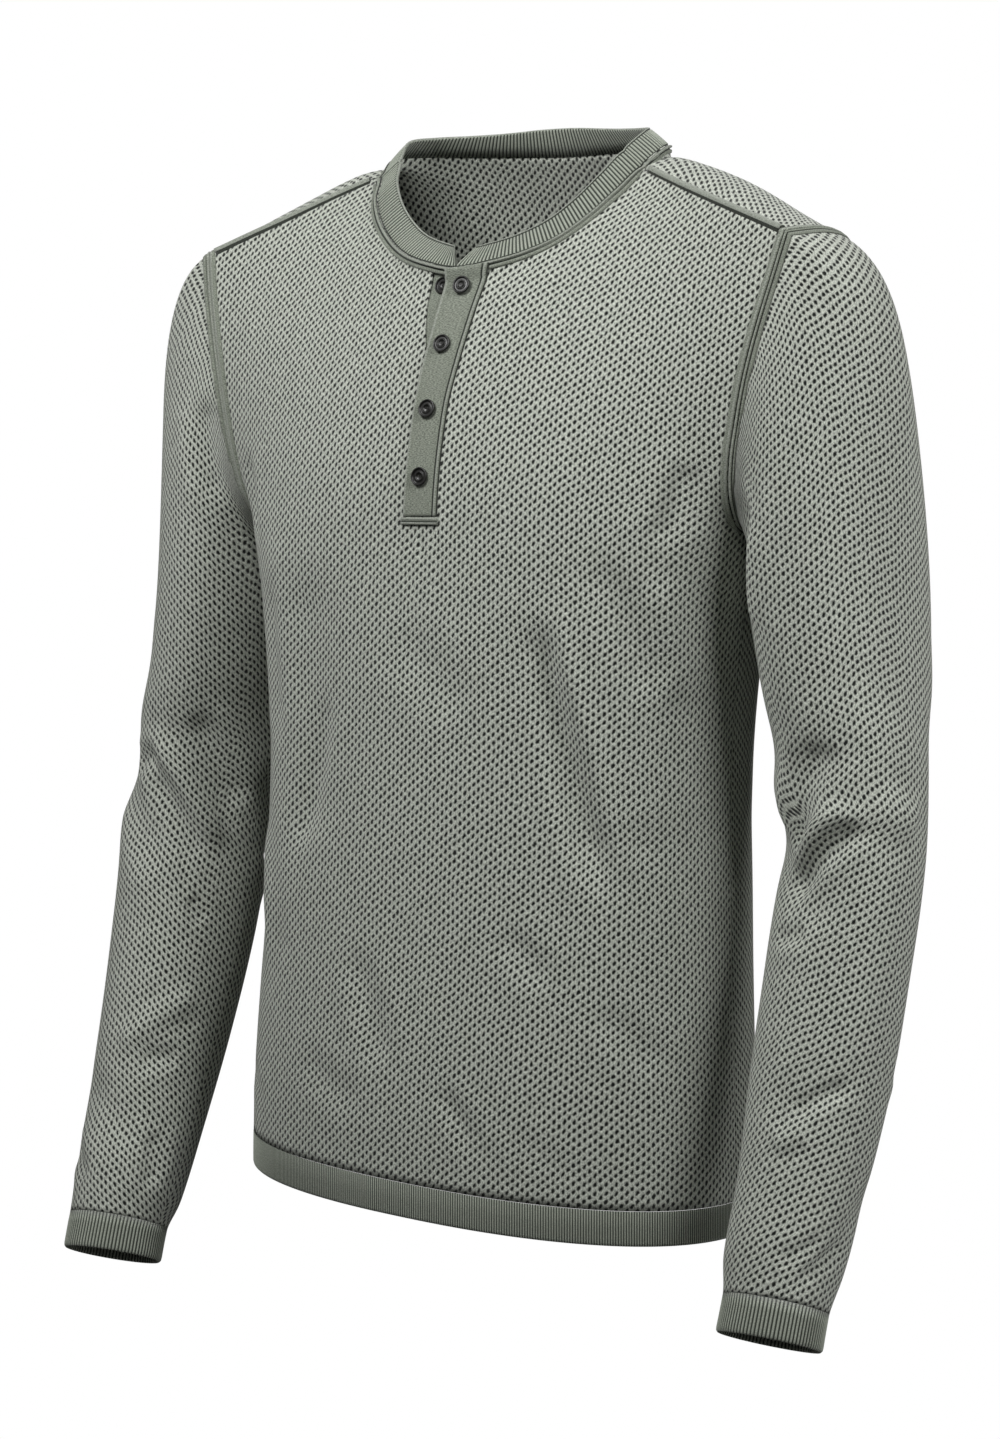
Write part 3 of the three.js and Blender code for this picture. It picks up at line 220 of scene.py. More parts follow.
def refined(grid: np.ndarray, factor: int, axis: int) -> np.ndarray:
    """Puts more rows or columns into a grid, on smooth curves through its points."""
    g = np.moveaxis(grid, axis, 0)
    g = np.concatenate([2 * g[:1] - g[1:2], g, 2 * g[-1:] - g[-2:-1]])
    a, b, c, d = (g[k:len(g) - 3 + k][:, None] for k in range(4))
    f = (np.arange(factor) / factor).reshape(1, factor, 1, 1)
    fine = 0.5 * (2 * b + (c - a) * f + (2 * a - 5 * b + 4 * c - d) * f ** 2
                  + (3 * b - a - 3 * c + d) * f ** 3)
    fine = fine.reshape((-1,) + fine.shape[2:])
    return np.moveaxis(np.concatenate([fine, g[-2:-1]]), 0, axis)


def grid_normals(grid: np.ndarray, closed: bool, sign: int) -> np.ndarray:
    """Gives a grid's unit normals, closed if its columns run round a ring."""
    if closed:
        across = np.roll(grid, -1, axis=1) - np.roll(grid, 1, axis=1)
    else:
        across = np.gradient(grid, axis=1)
    return unit(np.cross(across, np.gradient(grid, axis=0)) * sign)


@dataclass(frozen=True)
class Cut:
    """Levels and counts that the cloth's forms are worked out from."""

    armpit_z: float = -242
    hem_seam_z: float = -629
    hem_band: float = 21
    hem_tilt: float = 12.5
    tilt_from_z: float = -420
    right_drop: float = 3.5
    drop_x: tuple[float, float] = (100, 170)
    drop_z: tuple[float, float] = (-210, -80)
    cap_end_z: float = -300
    cuff_top_z: float = -681
    cuff_bottom_z: float = -702
    half_columns: int = 14
    neck_columns: int = 6
    lower_rows: int = 12
    front_rows: int = 9
    back_rows: int = 12
    finer: int = 6
    pull_from: float = 0.5
    ramp_rows: int = 3
    cap_rows: int = 40
    arm_rows: int = 165
    wall: float = 1.3


CUT = Cut()


@dataclass(frozen=True)
class Fold:
    """A soft trough, or a ridge if its depth is positive, along a line on a piece of cloth.

    On panels u is x and v is z. On sleeves u is the turn about the arm in degrees, starting
    outwards and passing the front, and v is z.
    """

    on: str
    u1: float
    v1: float
    u2: float
    v2: float
    width: float
    depth: float


@dataclass(frozen=True)
class Crease(Fold):
    """A crease with a bowed line, tapered ends and raised shoulders beside it."""

    bow: float = 0.0


# Each row: u1, v1, u2, v2, width, depth
FOLDS = [Fold(on, *row) for on, rows in {
    "front": [
        (81, -313, 115, -419, 17, -4), (96, -298, 131, -405, 14, 3),
        (-118, -262, -117, -465, 20, 3), (-88, -295, -84, -406, 22, -4),
    ],
    "back": [
        (70, -300, 118, -415, 22, -4), (-72, -310, -112, -430, 20, -4),
        (0, -395, 48, -470, 26, -3),
    ],
    "left": [
        (150, -425, 95, -452, 17, -4.5), (150, -392, 90, -398, 16, 2.5),
        (215, -420, 285, -446, 18, -4), (87, -566, 50, -555, 13, -2.5),
        (26, -662, -14, -628, 13, -2.5),
    ],
    "right": [
        (30, -392, 78, -440, 18, -4.5), (40, -430, 80, -466, 14, 2.5),
        (210, -412, 290, -440, 18, -4), (60, -600, 105, -618, 13, -2.5),
    ],
}.items() for row in rows]
# Each row: u1, v1, u2, v2, width, depth, bow
CREASES = [Crease(on, *row) for on, rows in {
    "front": [
        (80, -285, 122, -465, 8, -3, -3), (92, -292, 131, -448, 7, 2.2, -3),
        (113, -252, 142, -338, 9, -2, 2), (146, -262, 150, -345, 8, 2, 1),
        (-73, -335, -101, -442, 9, -2, 3), (-128, -268, -118, -375, 8, -1.8, -3),
        (-139, -420, -124, -520, 8, 1.6, 2), (24, -570, 64, -624, 6, -2.2, 2),
        (36, -592, 52, -620, 4, -1.4, 1), (76, -596, 112, -622, 7, -1.5, -2),
        (-44, -492, -16, -563, 9, -1.7, 3), (-82, -560, -30, -588, 9, -1.3, -2),
        (60, -478, 92, -508, 8, -1.6, 2), (-20, -300, 34, -352, 14, -1.2, 4),
        (118, -520, 146, -560, 7, -1.6, 2), (-150, -575, -120, -600, 6, -1.4, -1),
        (162, -196, 146, -248, 7, -2.2, 2), (-164, -190, -150, -250, 7, -2, -2),
        (-5, -238, -8, -254, 2.4, -0.9, 0), (2, -238, 2, -258, 2.4, -0.9, 0),
        (9, -238, 12, -252, 2.4, -0.9, 0),
    ],
    "back": [
        (128, -262, 96, -372, 9, -2.4, 3), (-132, -256, -92, -350, 10, -2.2, -3),
        (62, -398, 128, -452, 9, -2.1, 3), (-38, -428, -112, -470, 10, -2, 3),
        (18, -502, 78, -538, 9, -1.6, -2), (-66, -530, -24, -580, 8, -1.5, 2),
        (96, -560, 140, -600, 7, -1.6, 2), (-148, -548, -116, -598, 7, -1.7, -2),
        (162, -180, 150, -246, 8, -2.2, 2), (-168, -186, -152, -240, 8, -2, -2),
    ],
    "left": [
        (77, -358, 124, -428, 9, -4, 2), (57, -396, 120, -440, 7, 3, 2),
        (54, -404, 124, -454, 7, -3.4, 2), (50, -394, 8, -410, 10, 2, 2),
        (128, -476, 92, -470, 5, -1.5, 1), (84, -572, 34, -555, 5, -1.9, -1),
        (96, -588, 60, -580, 6, 1.4, 1), (48, -666, -4, -646, 5, -1.6, -2),
        (70, -652, 28, -640, 5, -1.2, 1), (130, -212, 142, -292, 9, -3, 3),
        (112, -232, 118, -300, 8, 1.6, 2), (236, -398, 302, -420, 9, -2.8, 2),
        (190, -446, 248, -470, 8, -2.4, -2), (280, -560, 338, -546, 8, -1.8, 2),
        (160, -600, 214, -616, 7, -1.8, -1),
    ],
    "right": [
        (70, -368, 154, -448, 6, 3.2, -2), (104, -358, 166, -424, 8, -3.2, -2),
        (72, -392, 134, -462, 8, -1.8, 3), (52, -396, 84, -388, 7, -2, 1),
        (128, -478, 144, -494, 6, -1.8, 0), (110, -580, 148, -577, 6, -2, 1),
        (84, -573, 152, -538, 8, 2, 2), (138, -622, 152, -658, 7, -2, 1),
        (98, -148, 126, -228, 8, -2.6, -3), (86, -128, 100, -168, 7, 1.6, 1),
        (232, -402, 300, -428, 9, -2.8, 2), (196, -440, 252, -476, 8, -2.2, -2),
        (270, -566, 330, -548, 8, -1.8, 2), (30, -636, 76, -652, 7, -1.6, 1),
    ],
}.items() for row in rows]
CREASE_RELIEF = 1.5
CREASE_TAPER = 0.22
TURN_RADIUS = 42.0


class Form:
    """The shirt's cloth as fine grids of points."""

    def __init__(self) -> None:
        """Works out the panels and both sleeves."""
        self.neck = {"front": curve_through(NECK_FRONT), "back": curve_through(NECK_BACK)}
        self.armhole = {"front": curve_through(ARMHOLE_FRONT), "back": curve_through(ARMHOLE_BACK)}
        self.crest = curve_through(CREST)
        self.shoulder = curve_through(SHOULDER_SEAM)
        front, back = self.panel("front"), self.panel("back")
        self.stitch(front, back)
        front = folded(front, grid_normals(front, False, 1), "front", CUT.finer)
        back = folded(back, grid_normals(back, False, -1), "back", CUT.finer)
        self.whole = {"front": front, "back": back}
        self.front, self.back = dropped(front), dropped(back)
        self.front_normals = grid_normals(self.front, False, 1)
        self.back_normals = grid_normals(self.back, False, -1)
        self.low = CUT.lower_rows * CUT.finer
        self.middle = CUT.half_columns * CUT.finer
        self.neck_reach = CUT.neck_columns * CUT.finer

    def section_half(self, side: str, z: float) -> np.ndarray:
        """Gives half of a level section of the body, from the centre to the side seam."""
        half, depth, seam, power = (BODY.read(k, z) for k in ("half", side, "side", "power"))
        turn = np.linspace(0, math.pi / 2, 121)
        x = half * np.sin(turn) ** (2 / power)
        y = seam + (depth - seam) * np.maximum(np.cos(turn), 0) ** (2 / power)
        return evenly(np.stack([x, y, np.full_like(x, z)], axis=-1), CUT.half_columns)

    def upper_column(self, side: str, share: float, foot: np.ndarray, rows: int) -> np.ndarray:
        """Gives a panel's column from armpit level to the neck or the shoulder seam."""
        edge = CUT.neck_columns / CUT.half_columns
        on_neck = share < edge - 1e-6
        along = share / edge if on_neck else (share - edge) / (1 - edge)
        line = self.neck[side] if on_neck else self.shoulder
        top = at_reach(line, np.array([along * reach_along(line)[-1]]))[0]
        table = FRONT_COLUMNS if side == "front" else BACK_COLUMNS
        lift, over, up = (float(table.read(k, share)) for k in ("lift", "over", "up"))
        f = np.linspace(0, 1, 61)[:, None]
        high = top
        if side == "back" and not on_neck:
            high = at_reach(self.crest, np.array([along * reach_along(self.crest)[-1]]))[0]
        leaving = np.array([(high[0] - foot[0]) * 0.4, 0, lift])
        lean = 0.6 if side == "front" else 0.3
        arriving = np.array([(high[0] - foot[0]) * lean, over, up])
        points = hermite(foot, leaving, high, arriving, f)
        if side == "back" and not on_neck:
            forward = np.array([0, -np.linalg.norm(high - top), 0])
            falling = np.array([0, top[1] - high[1], 2 * (top[2] - high[2])])
            rest = hermite(high, forward, top, falling, np.linspace(0, 1, 21)[1:, None])
            points = np.vstack([points, rest])
        return evenly(points, rows)

    def panel(self, side: str) -> np.ndarray:
        """Gives a whole panel as a fine grid, its rows from the hem seam up."""
        rows = CUT.front_rows if side == "front" else CUT.back_rows
        levels = np.linspace(CUT.hem_seam_z, CUT.armpit_z, CUT.lower_rows + 1)
        lower = np.stack([self.section_half(side, z) for z in levels])
        shares = np.arange(CUT.half_columns + 1) / CUT.half_columns
        upper = np.stack([self.upper_column(side, s, foot, rows)
                          for s, foot in zip(shares, lower[-1])], axis=1)
        pulls = evenly(self.armhole[side], rows) - upper[:, -1]
        near = np.clip((shares - CUT.pull_from) / (1 - CUT.pull_from), 0, 1) ** 2
        upper = upper + pulls[:, None] * near[None, :, None]
        half = np.concatenate([lower, upper[1:]])
        grid = np.concatenate([half[:, :0:-1] * (-1, 1, 1), half], axis=1)
        far = ease((CUT.tilt_from_z - grid[..., 2]) / (CUT.tilt_from_z - CUT.hem_seam_z))
        grid[..., 2] -= CUT.hem_tilt * far * grid[..., 0] / 167
        ramp = np.clip((np.arange(len(grid)) - CUT.lower_rows) / CUT.ramp_rows, 0, 1)
        ramp[-1] = 0
        for _ in range(8 if side == "front" else 2):
            between = (grid[:, :-2] + grid[:, 2:]) / 2
            inner = grid[:, 1:-1]
            grid[:, 1:-1] = inner + (between - inner) * 0.5 * ramp[:, None, None]
        return refined(refined(grid, CUT.finer, 0), CUT.finer, 1)

    def stitch(self, front: np.ndarray, back: np.ndarray) -> None:
        """Brings the two panels' shared edges onto one line, fading into each panel."""
        low, reach = CUT.lower_rows * CUT.finer, CUT.neck_columns * CUT.finer
        middle, fade = CUT.half_columns * CUT.finer, 8
        shares = ease(1 - np.arange(fade) / fade)
        for edge, step in ((0, 1), (-1, -1)):
            mean = (front[:low + 1, edge] + back[:low + 1, edge]) / 2
            for panel in (front, back):
                shift = mean - panel[:low + 1, edge]
                for k, share in enumerate(shares):
                    panel[:low + 1, edge + step * k] += shift * share
        for columns in (slice(0, middle - reach + 1), slice(middle + reach, None)):
            mean = (front[-1, columns] + back[-1, columns]) / 2
            for panel in (front, back):
                shift = mean - panel[-1, columns]
                for k, share in enumerate(shares):
                    panel[-1 - k, columns] += shift * share

    def armhole_loop(self, side: Side) -> np.ndarray:
        """Gives the armhole's points from the armpit over the front to the crest and back."""
        edge = -1 if side is Side.LEFT else 0
        front, back = self.whole["front"], self.whole["back"]
        return np.concatenate([front[self.low:, edge], back[-2:self.low:-1, edge]])

    def arm_ring(self, z: float, turns: np.ndarray, swell: np.ndarray | float = 0) -> np.ndarray:
        """Gives a ring of points round the left arm's axis.

        Args:
            z: the level of its centre.
            turns: its points' turns about the axis, from outwards over the front.
            swell: how far each point stands out of the ring.

        Returns:
            The ring's points.
        """
        def axis(level: float) -> np.ndarray:
            """Gives the arm's middle at a level."""
            return np.array([ARM.read("x", level), ARM.read("y", level), level])

        under = max(-702.0, z - 12)
        down = unit(axis(under) - axis(under + 12))
        across = unit(np.array([1.0, 0, 0]) - down * down[0])
        forward = np.cross(down, across)
        long, short = ARM.read("long", z), ARM.read("short", z)
        skew = math.radians(ARM.read("skew", z))
        radius = swell + long * short / np.hypot(short * np.cos(turns - skew),
                                                 long * np.sin(turns - skew))
        return (axis(z) + across * (radius * np.cos(turns))[:, None]
                + forward * (radius * np.sin(turns))[:, None])

    def turns(self, loop: np.ndarray) -> np.ndarray:
        """Gives each armhole point's turn round the sleeve, half a turn at the armpit."""
        reach = reach_along(np.vstack([loop, loop[:1]]))
        top = reach[int(np.argmax(np.abs(loop[:, 0])))]
        here = reach[:-1]
        return np.where(here <= top, math.pi * (1 - here / top),
                        math.pi * (2 - (here - top) / (reach[-1] - top)))

    def sleeve(self, side: Side) -> np.ndarray:
        """Gives a sleeve's grid, its rows from the armhole down."""
        flip = np.array([side.value, 1, 1])
        loop = self.armhole_loop(side) * flip
        turns = self.turns(loop)
        first, below = (self.arm_ring(z, turns) for z in (CUT.cap_end_z, CUT.cap_end_z - 10))
        degrees = np.degrees(turns)
        out, back, drop, leave, arrive = (CAP.read(k, degrees)[:, None]
                                          for k in ("out", "back", "drop", "leave", "arrive"))
        leaving = unit(np.hstack([out, back, drop])) * leave
        arriving = unit(below - first) * arrive
        cap = [hermite(loop, leaving, first, arriving, f)
               for f in np.linspace(0, 1, CUT.cap_rows + 1)]
        levels = np.linspace(CUT.cap_end_z, CUT.cuff_top_z, CUT.arm_rows + 1)[1:]
        grid = np.stack(cap + [self.arm_ring(z, turns) for z in levels])
        name = side.name.lower()
        grid = folded(grid, grid_normals(grid, True, -1), name, 5, turns)
        return dropped(grid * flip)


def folded(grid: np.ndarray, normals: np.ndarray, name: str, margin: float,
           turns: np.ndarray | None = None) -> np.ndarray:
    """Moves a grid's points along their normals by the folds and creases of a piece.

    Args:
        grid: the points.
        normals: their normals, pointing out.
        name: the piece that the folds are on.
        margin: how many rows or columns the edges keep almost still.
        turns: for a sleeve, the columns' turns about the arm.

    Returns:
        The moved points.
    """
    rows, columns = grid.shape[:2]
    r = np.arange(rows)[:, None] + np.zeros((1, columns))
    c = np.arange(columns)[None] + np.zeros((rows, 1))
    edge = np.minimum(r, rows - 1 - r)
    if turns is None:
        u, scale, round_trip = grid[..., 0], 1.0, None
        edge = np.minimum(edge, np.minimum(c, columns - 1 - c))
    else:
        scale = math.radians(1) * TURN_RADIUS
        u, round_trip = turns[None] * TURN_RADIUS + 0 * r, 360 * scale
    v = grid[..., 2]
    shift = np.zeros_like(v)
    for fold in FOLDS + CREASES:
        if fold.on != name:
            continue
        u1, u2 = fold.u1 * scale, fold.u2 * scale
        du, dv = u2 - u1, fold.v2 - fold.v1
        pu, pv = u - u1, v - fold.v1
        if round_trip:
            pu = pu - np.round((pu - du / 2) / round_trip) * round_trip
        length = math.hypot(du, dv)
        along = (pu * du + pv * dv) / length ** 2
        share = np.clip(along, 0, 1)
        if isinstance(fold, Crease):
            aside = (pv * du - pu * dv) / length - fold.bow * 4 * share * (1 - share)
            off = np.hypot(aside, (along - share) * length) / fold.width
            taper = ease(share / CREASE_TAPER) * ease((1 - share) / CREASE_TAPER)
            shape = np.exp(-off ** 2) - 0.3 * np.exp(-((off - 1.9) / 0.8) ** 2)
            shift += CREASE_RELIEF * fold.depth * shape * taper
        else:
            off = np.hypot(pu - share * du, pv - share * dv) / fold.width
            shift += fold.depth * np.exp(-off ** 2)
    return grid + normals * (shift * ease(edge / (2 * margin)))[..., None]


def cloth_uv(grid: np.ndarray, centre: int, from_end: bool) -> np.ndarray:
    """Gives each point of a grid its place on the flat cloth, in millimetres.

    Args:
        grid: the points.
        centre: the column that the grain runs along.
        from_end: True if heights are measured from the last row.

    Returns:
        The places, with the grid's own rows and columns.
    """
    up = unit(np.gradient(grid, axis=0))
    step = np.diff(grid, axis=1)
    tangent = (up[:, 1:] + up[:, :-1]) / 2
    across = np.linalg.norm(step - tangent * np.sum(step * tangent, -1, keepdims=True), axis=-1)
    u = np.concatenate([np.zeros((len(grid), 1)), np.cumsum(across, axis=1)], axis=1)
    u = u - u[:, centre:centre + 1]
    rise = np.linalg.norm(np.diff(grid, axis=0), axis=-1)
    v = np.concatenate([np.zeros((1, grid.shape[1])), np.cumsum(rise, axis=0)])
    if from_end:
        v = v[-1:] - v
    return np.stack([u, v], axis=-1)


def laid_flat(grid: np.ndarray, across: np.ndarray, up: np.ndarray, start: np.ndarray
              ) -> np.ndarray:
    """Fits each point's place on the flat cloth to the grain, by least squares.

    Args:
        grid: the points.
        across: the grain's unit tangents across the cloth.
        up: its unit tangents up the cloth.
        start: places to start from.

    Returns:
        The places, level with the start's own zero.
    """
    def along(axis: int) -> np.ndarray:
        """Gives each step of the grid as distances across and up the cloth."""
        step = np.diff(grid, axis=axis)
        a, b = (slice(None, -1), slice(1, None))
        pick = ((lambda f, s: f[s]) if axis == 0 else (lambda f, s: f[:, s]))
        return np.stack([np.sum(step * (pick(f, a) + pick(f, b)) / 2, axis=-1)
                         for f in (across, up)], axis=-1)

    def spread(right: np.ndarray, above: np.ndarray) -> np.ndarray:
        """Adds each step to the point it leads to and takes it from the one it leaves."""
        out = np.zeros_like(start)
        out[:, 1:] += right
        out[:, :-1] -= right
        out[1:] += above
        out[:-1] -= above
        return out

    def product(x: np.ndarray) -> np.ndarray:
        """Applies the least-squares matrix to some places."""
        return spread(np.diff(x, axis=1), np.diff(x, axis=0))

    x = start.copy()
    rest = spread(along(1), along(0)) - product(x)
    way, size = rest.copy(), float(np.sum(rest * rest))
    for _ in range(500):
        if size < 1e-6:
            break
        turned = product(way)
        share = size / float(np.sum(way * turned))
        x += share * way
        rest -= share * turned
        new = float(np.sum(rest * rest))
        way, size = rest + way * (new / size), new
    return x


def panel_places(grid: np.ndarray, normals: np.ndarray, sign: int, centre: int) -> np.ndarray:
    """Gives a panel's places on its flat cloth, the grain upright at centre."""
    side = np.zeros_like(grid)
    side[..., 0] = 1
    side = unit(side - normals * np.sum(side * normals, -1, keepdims=True))
    level = unit(np.cross((0.0, 0.0, 1.0), normals)) * sign
    share = ease((np.abs(normals[..., :1]) - 0.5) / 0.4)
    across = mix(side, level, share)
    across = unit(across - normals * np.sum(across * normals, -1, keepdims=True))
    places = laid_flat(grid, across, np.cross(normals, across) * sign,
                       cloth_uv(grid, centre, False))
    return places - places[0, centre]


class Surface:
    """A grid of points that other pieces are laid on."""

    def __init__(self, grids: list[np.ndarray]) -> None:
        """Makes the search tree over some grids."""
        points: list[np.ndarray] = []
        faces: list[tuple[int, ...]] = []
        for grid in grids:
            start, width = sum(map(len, points)), grid.shape[1]
            points.append(grid.reshape(-1, 3))
            for r in range(len(grid) - 1):
                a = start + r * width
                faces += [(a + c, a + c + 1, a + c + 1 + width, a + c + width)
                          for c in range(width - 1)]
        self.tree = BVHTree.FromPolygons(np.concatenate(points).tolist(), faces)

    def under(self, p: np.ndarray, n: np.ndarray, reach: float = 9.0) -> np.ndarray:
        """Gives the cloth's point under a place, looked for against a direction."""
        hit = self.tree.ray_cast(Vector(p + n * reach), Vector(-n), 2.5 * reach)[0]
        if hit is None:
            hit = self.tree.find_nearest(Vector(p))[0]
        return np.array(hit)


def grid_mesh(name: str, grid: np.ndarray, uv: np.ndarray, outward: np.ndarray,
              join_columns: bool = False, join_rows: bool = False) -> bpy.types.Object:
    """Makes an object whose mesh is a grid of points.

    Args:
        name: the object's name.
        grid: the points, in millimetres. A ring's last row or column repeats its first.
        uv: the points' places on the flat cloth.
        outward: a direction out of the cloth at the grid's middle point.
        join_columns: True if the last column meets the first.
        join_rows: True if the last row meets the first.

    Returns:
        The object, smooth, at the origin.
    """
    rows, columns = grid.shape[:2]
    bm = bmesh.new()
    layer = bm.loops.layers.uv.new("cloth")
    bmesh.ops.create_grid(bm, x_segments=columns - 1, y_segments=rows - 1, size=1)
    places = {}
    for vert in bm.verts:
        c = round((vert.co.x + 1) / 2 * (columns - 1))
        r = round((vert.co.y + 1) / 2 * (rows - 1))
        places[vert] = (r, c)
        vert.co = grid[r, c] * MM
    for face in bm.faces:
        face.smooth = True
        for loop in face.loops:
            loop[layer].uv = uv[places[loop.vert]]
    bm.normal_update()
    middle = min(bm.faces, key=lambda f: (f.calc_center_median()
                                          - Vector(grid[rows // 2, columns // 2] * MM)).length)
    if middle.normal.dot(Vector(outward)) < 0:
        bmesh.ops.reverse_faces(bm, faces=bm.faces[:])
    if join_columns or join_rows:
        bmesh.ops.remove_doubles(bm, verts=bm.verts[:], dist=1e-6)
    return finished(name, bm)


def finished(name: str, bm: bmesh.types.BMesh) -> bpy.types.Object:
    """Turns a bmesh into an object in the scene."""
    mesh = bpy.data.meshes.new(name)
    bm.to_mesh(mesh)
    bm.free()
    obj = bpy.data.objects.new(name, mesh)
    bpy.context.scene.collection.objects.link(obj)
    return obj


def thicken(obj: bpy.types.Object, wall: float) -> None:
    """Gives a sheet its wall, inwards."""
    solid = obj.modifiers.new("wall", "SOLIDIFY")
    solid.thickness = wall * MM
    solid.offset = -1
    solid.use_rim = True


def eased(line: np.ndarray, times: int) -> np.ndarray:
    """Smooths vectors along an open line."""
    for _ in range(times):
        line = np.vstack([line[:1], (line[:-2] + line[1:-1] * 2 + line[2:]) / 4, line[-1:]])
    return line


def ring_closed(grid: np.ndarray) -> np.ndarray:
    """Repeats a grid's first column at its end."""
    return np.concatenate([grid, grid[:, :1]], axis=1)


# Tone letters of swept pieces: m the cloth's own tone, p pale raised edges that are partly worn
# and partly painted highlight, d painted shade in grooves and under edges
TONES = "mpd"


def swept(name: str, path_sections: np.ndarray, outward: np.ndarray, closed: bool,
          tones: str = "", ribs: int = 0) -> bpy.types.Object:
    """Makes a solid from closed sections along a path.

    Args:
        name: the object's name.
        path_sections: the sections' points, a row for each point of the section.
        outward: a direction out of the solid at the middle point.
        closed: True if the path runs round a ring.
        tones: a letter for each stretch of the section: m for the cloth's middle tone, p for
        its pale raised edges, partly worn and partly painted highlight, and d for painted
        shade in the bottoms of grooves and under edges.
        ribs: how many ribs there are along the path, which its places then count.

    Returns:
        The object.
    """
    grid = np.concatenate([path_sections, path_sections[:1]])
    if closed:
        grid = ring_closed(grid)
    along = np.concatenate([[0], np.cumsum(np.linalg.norm(np.diff(grid[0], axis=0), axis=-1))])
    if ribs:
        along = np.arange(grid.shape[1]) * ribs / (grid.shape[1] - 1)
    around = reach_along(grid[:, 0])
    uv = np.stack(np.broadcast_arrays(along[None], around[:, None]), axis=-1)
    obj = grid_mesh(name, grid, uv, outward, closed, True)
    bm = bmesh.new()
    bm.from_mesh(obj.data)
    layer = bm.loops.layers.uv["cloth"]
    # Each face takes its stretch's material: the cloth, pale edges holding painted highlight, or
    # painted groove shade
    for face in bm.faces if tones else ():
        middle = sum(loop[layer].uv.y for loop in face.loops) / len(face.loops)
        row = int(np.searchsorted(around, middle)) - 1
        face.material_index = TONES.index(tones[min(row, len(tones) - 1)])
    bmesh.ops.holes_fill(bm, edges=[e for e in bm.edges if e.is_boundary], sides=0)
    bmesh.ops.recalc_face_normals(bm, faces=bm.faces[:])
    bm.to_mesh(obj.data)
    bm.free()
    return obj


class Term:
    """A number's socket in a material, with sums written as Python expressions."""

    def __init__(self, tree: bpy.types.NodeTree, socket: bpy.types.NodeSocket) -> None:
        """Wraps a socket."""
        self.tree, self.socket = tree, socket

    def maths(self, operation: str, *others: "Term | float", first: bool = True) -> "Term":
        """Adds a Math node to this value and some others."""
        node = self.tree.nodes.new("ShaderNodeMath")
        node.operation = operation
        terms = [self, *others] if first else [*others, self]
        for socket, term in zip(node.inputs, terms):
            if isinstance(term, Term):
                self.tree.links.new(term.socket, socket)
            else:
                socket.default_value = term
        return Term(self.tree, node.outputs[0])

    def __add__(self, other: "Term | float") -> "Term":
        """Adds."""
        return self.maths("ADD", other)

    __radd__ = __add__

    def __mul__(self, other: "Term | float") -> "Term":
        """Multiplies."""
        return self.maths("MULTIPLY", other)

    __rmul__ = __mul__

    def __sub__(self, other: "Term | float") -> "Term":
        """Takes away."""
        return self.maths("SUBTRACT", other)

    def __rsub__(self, other: float) -> "Term":
        """Takes this away from a number."""
        return self.maths("SUBTRACT", other, first=False)

    def __truediv__(self, other: "Term | float") -> "Term":
        """Divides."""
        return self.maths("DIVIDE", other)

    def __pow__(self, other: float) -> "Term":
        """Raises to a power."""
        return self.maths("POWER", other)

    def ramp(self, low: float, high: float) -> "Term":
        """Rises smoothly from 0 at low to 1 at high."""
        node = self.tree.nodes.new("ShaderNodeMapRange")
        node.interpolation_type = "SMOOTHSTEP"
        self.tree.links.new(self.socket, node.inputs["Value"])
        node.inputs["From Min"].default_value = low
        node.inputs["From Max"].default_value = high
        return Term(self.tree, node.outputs["Result"])


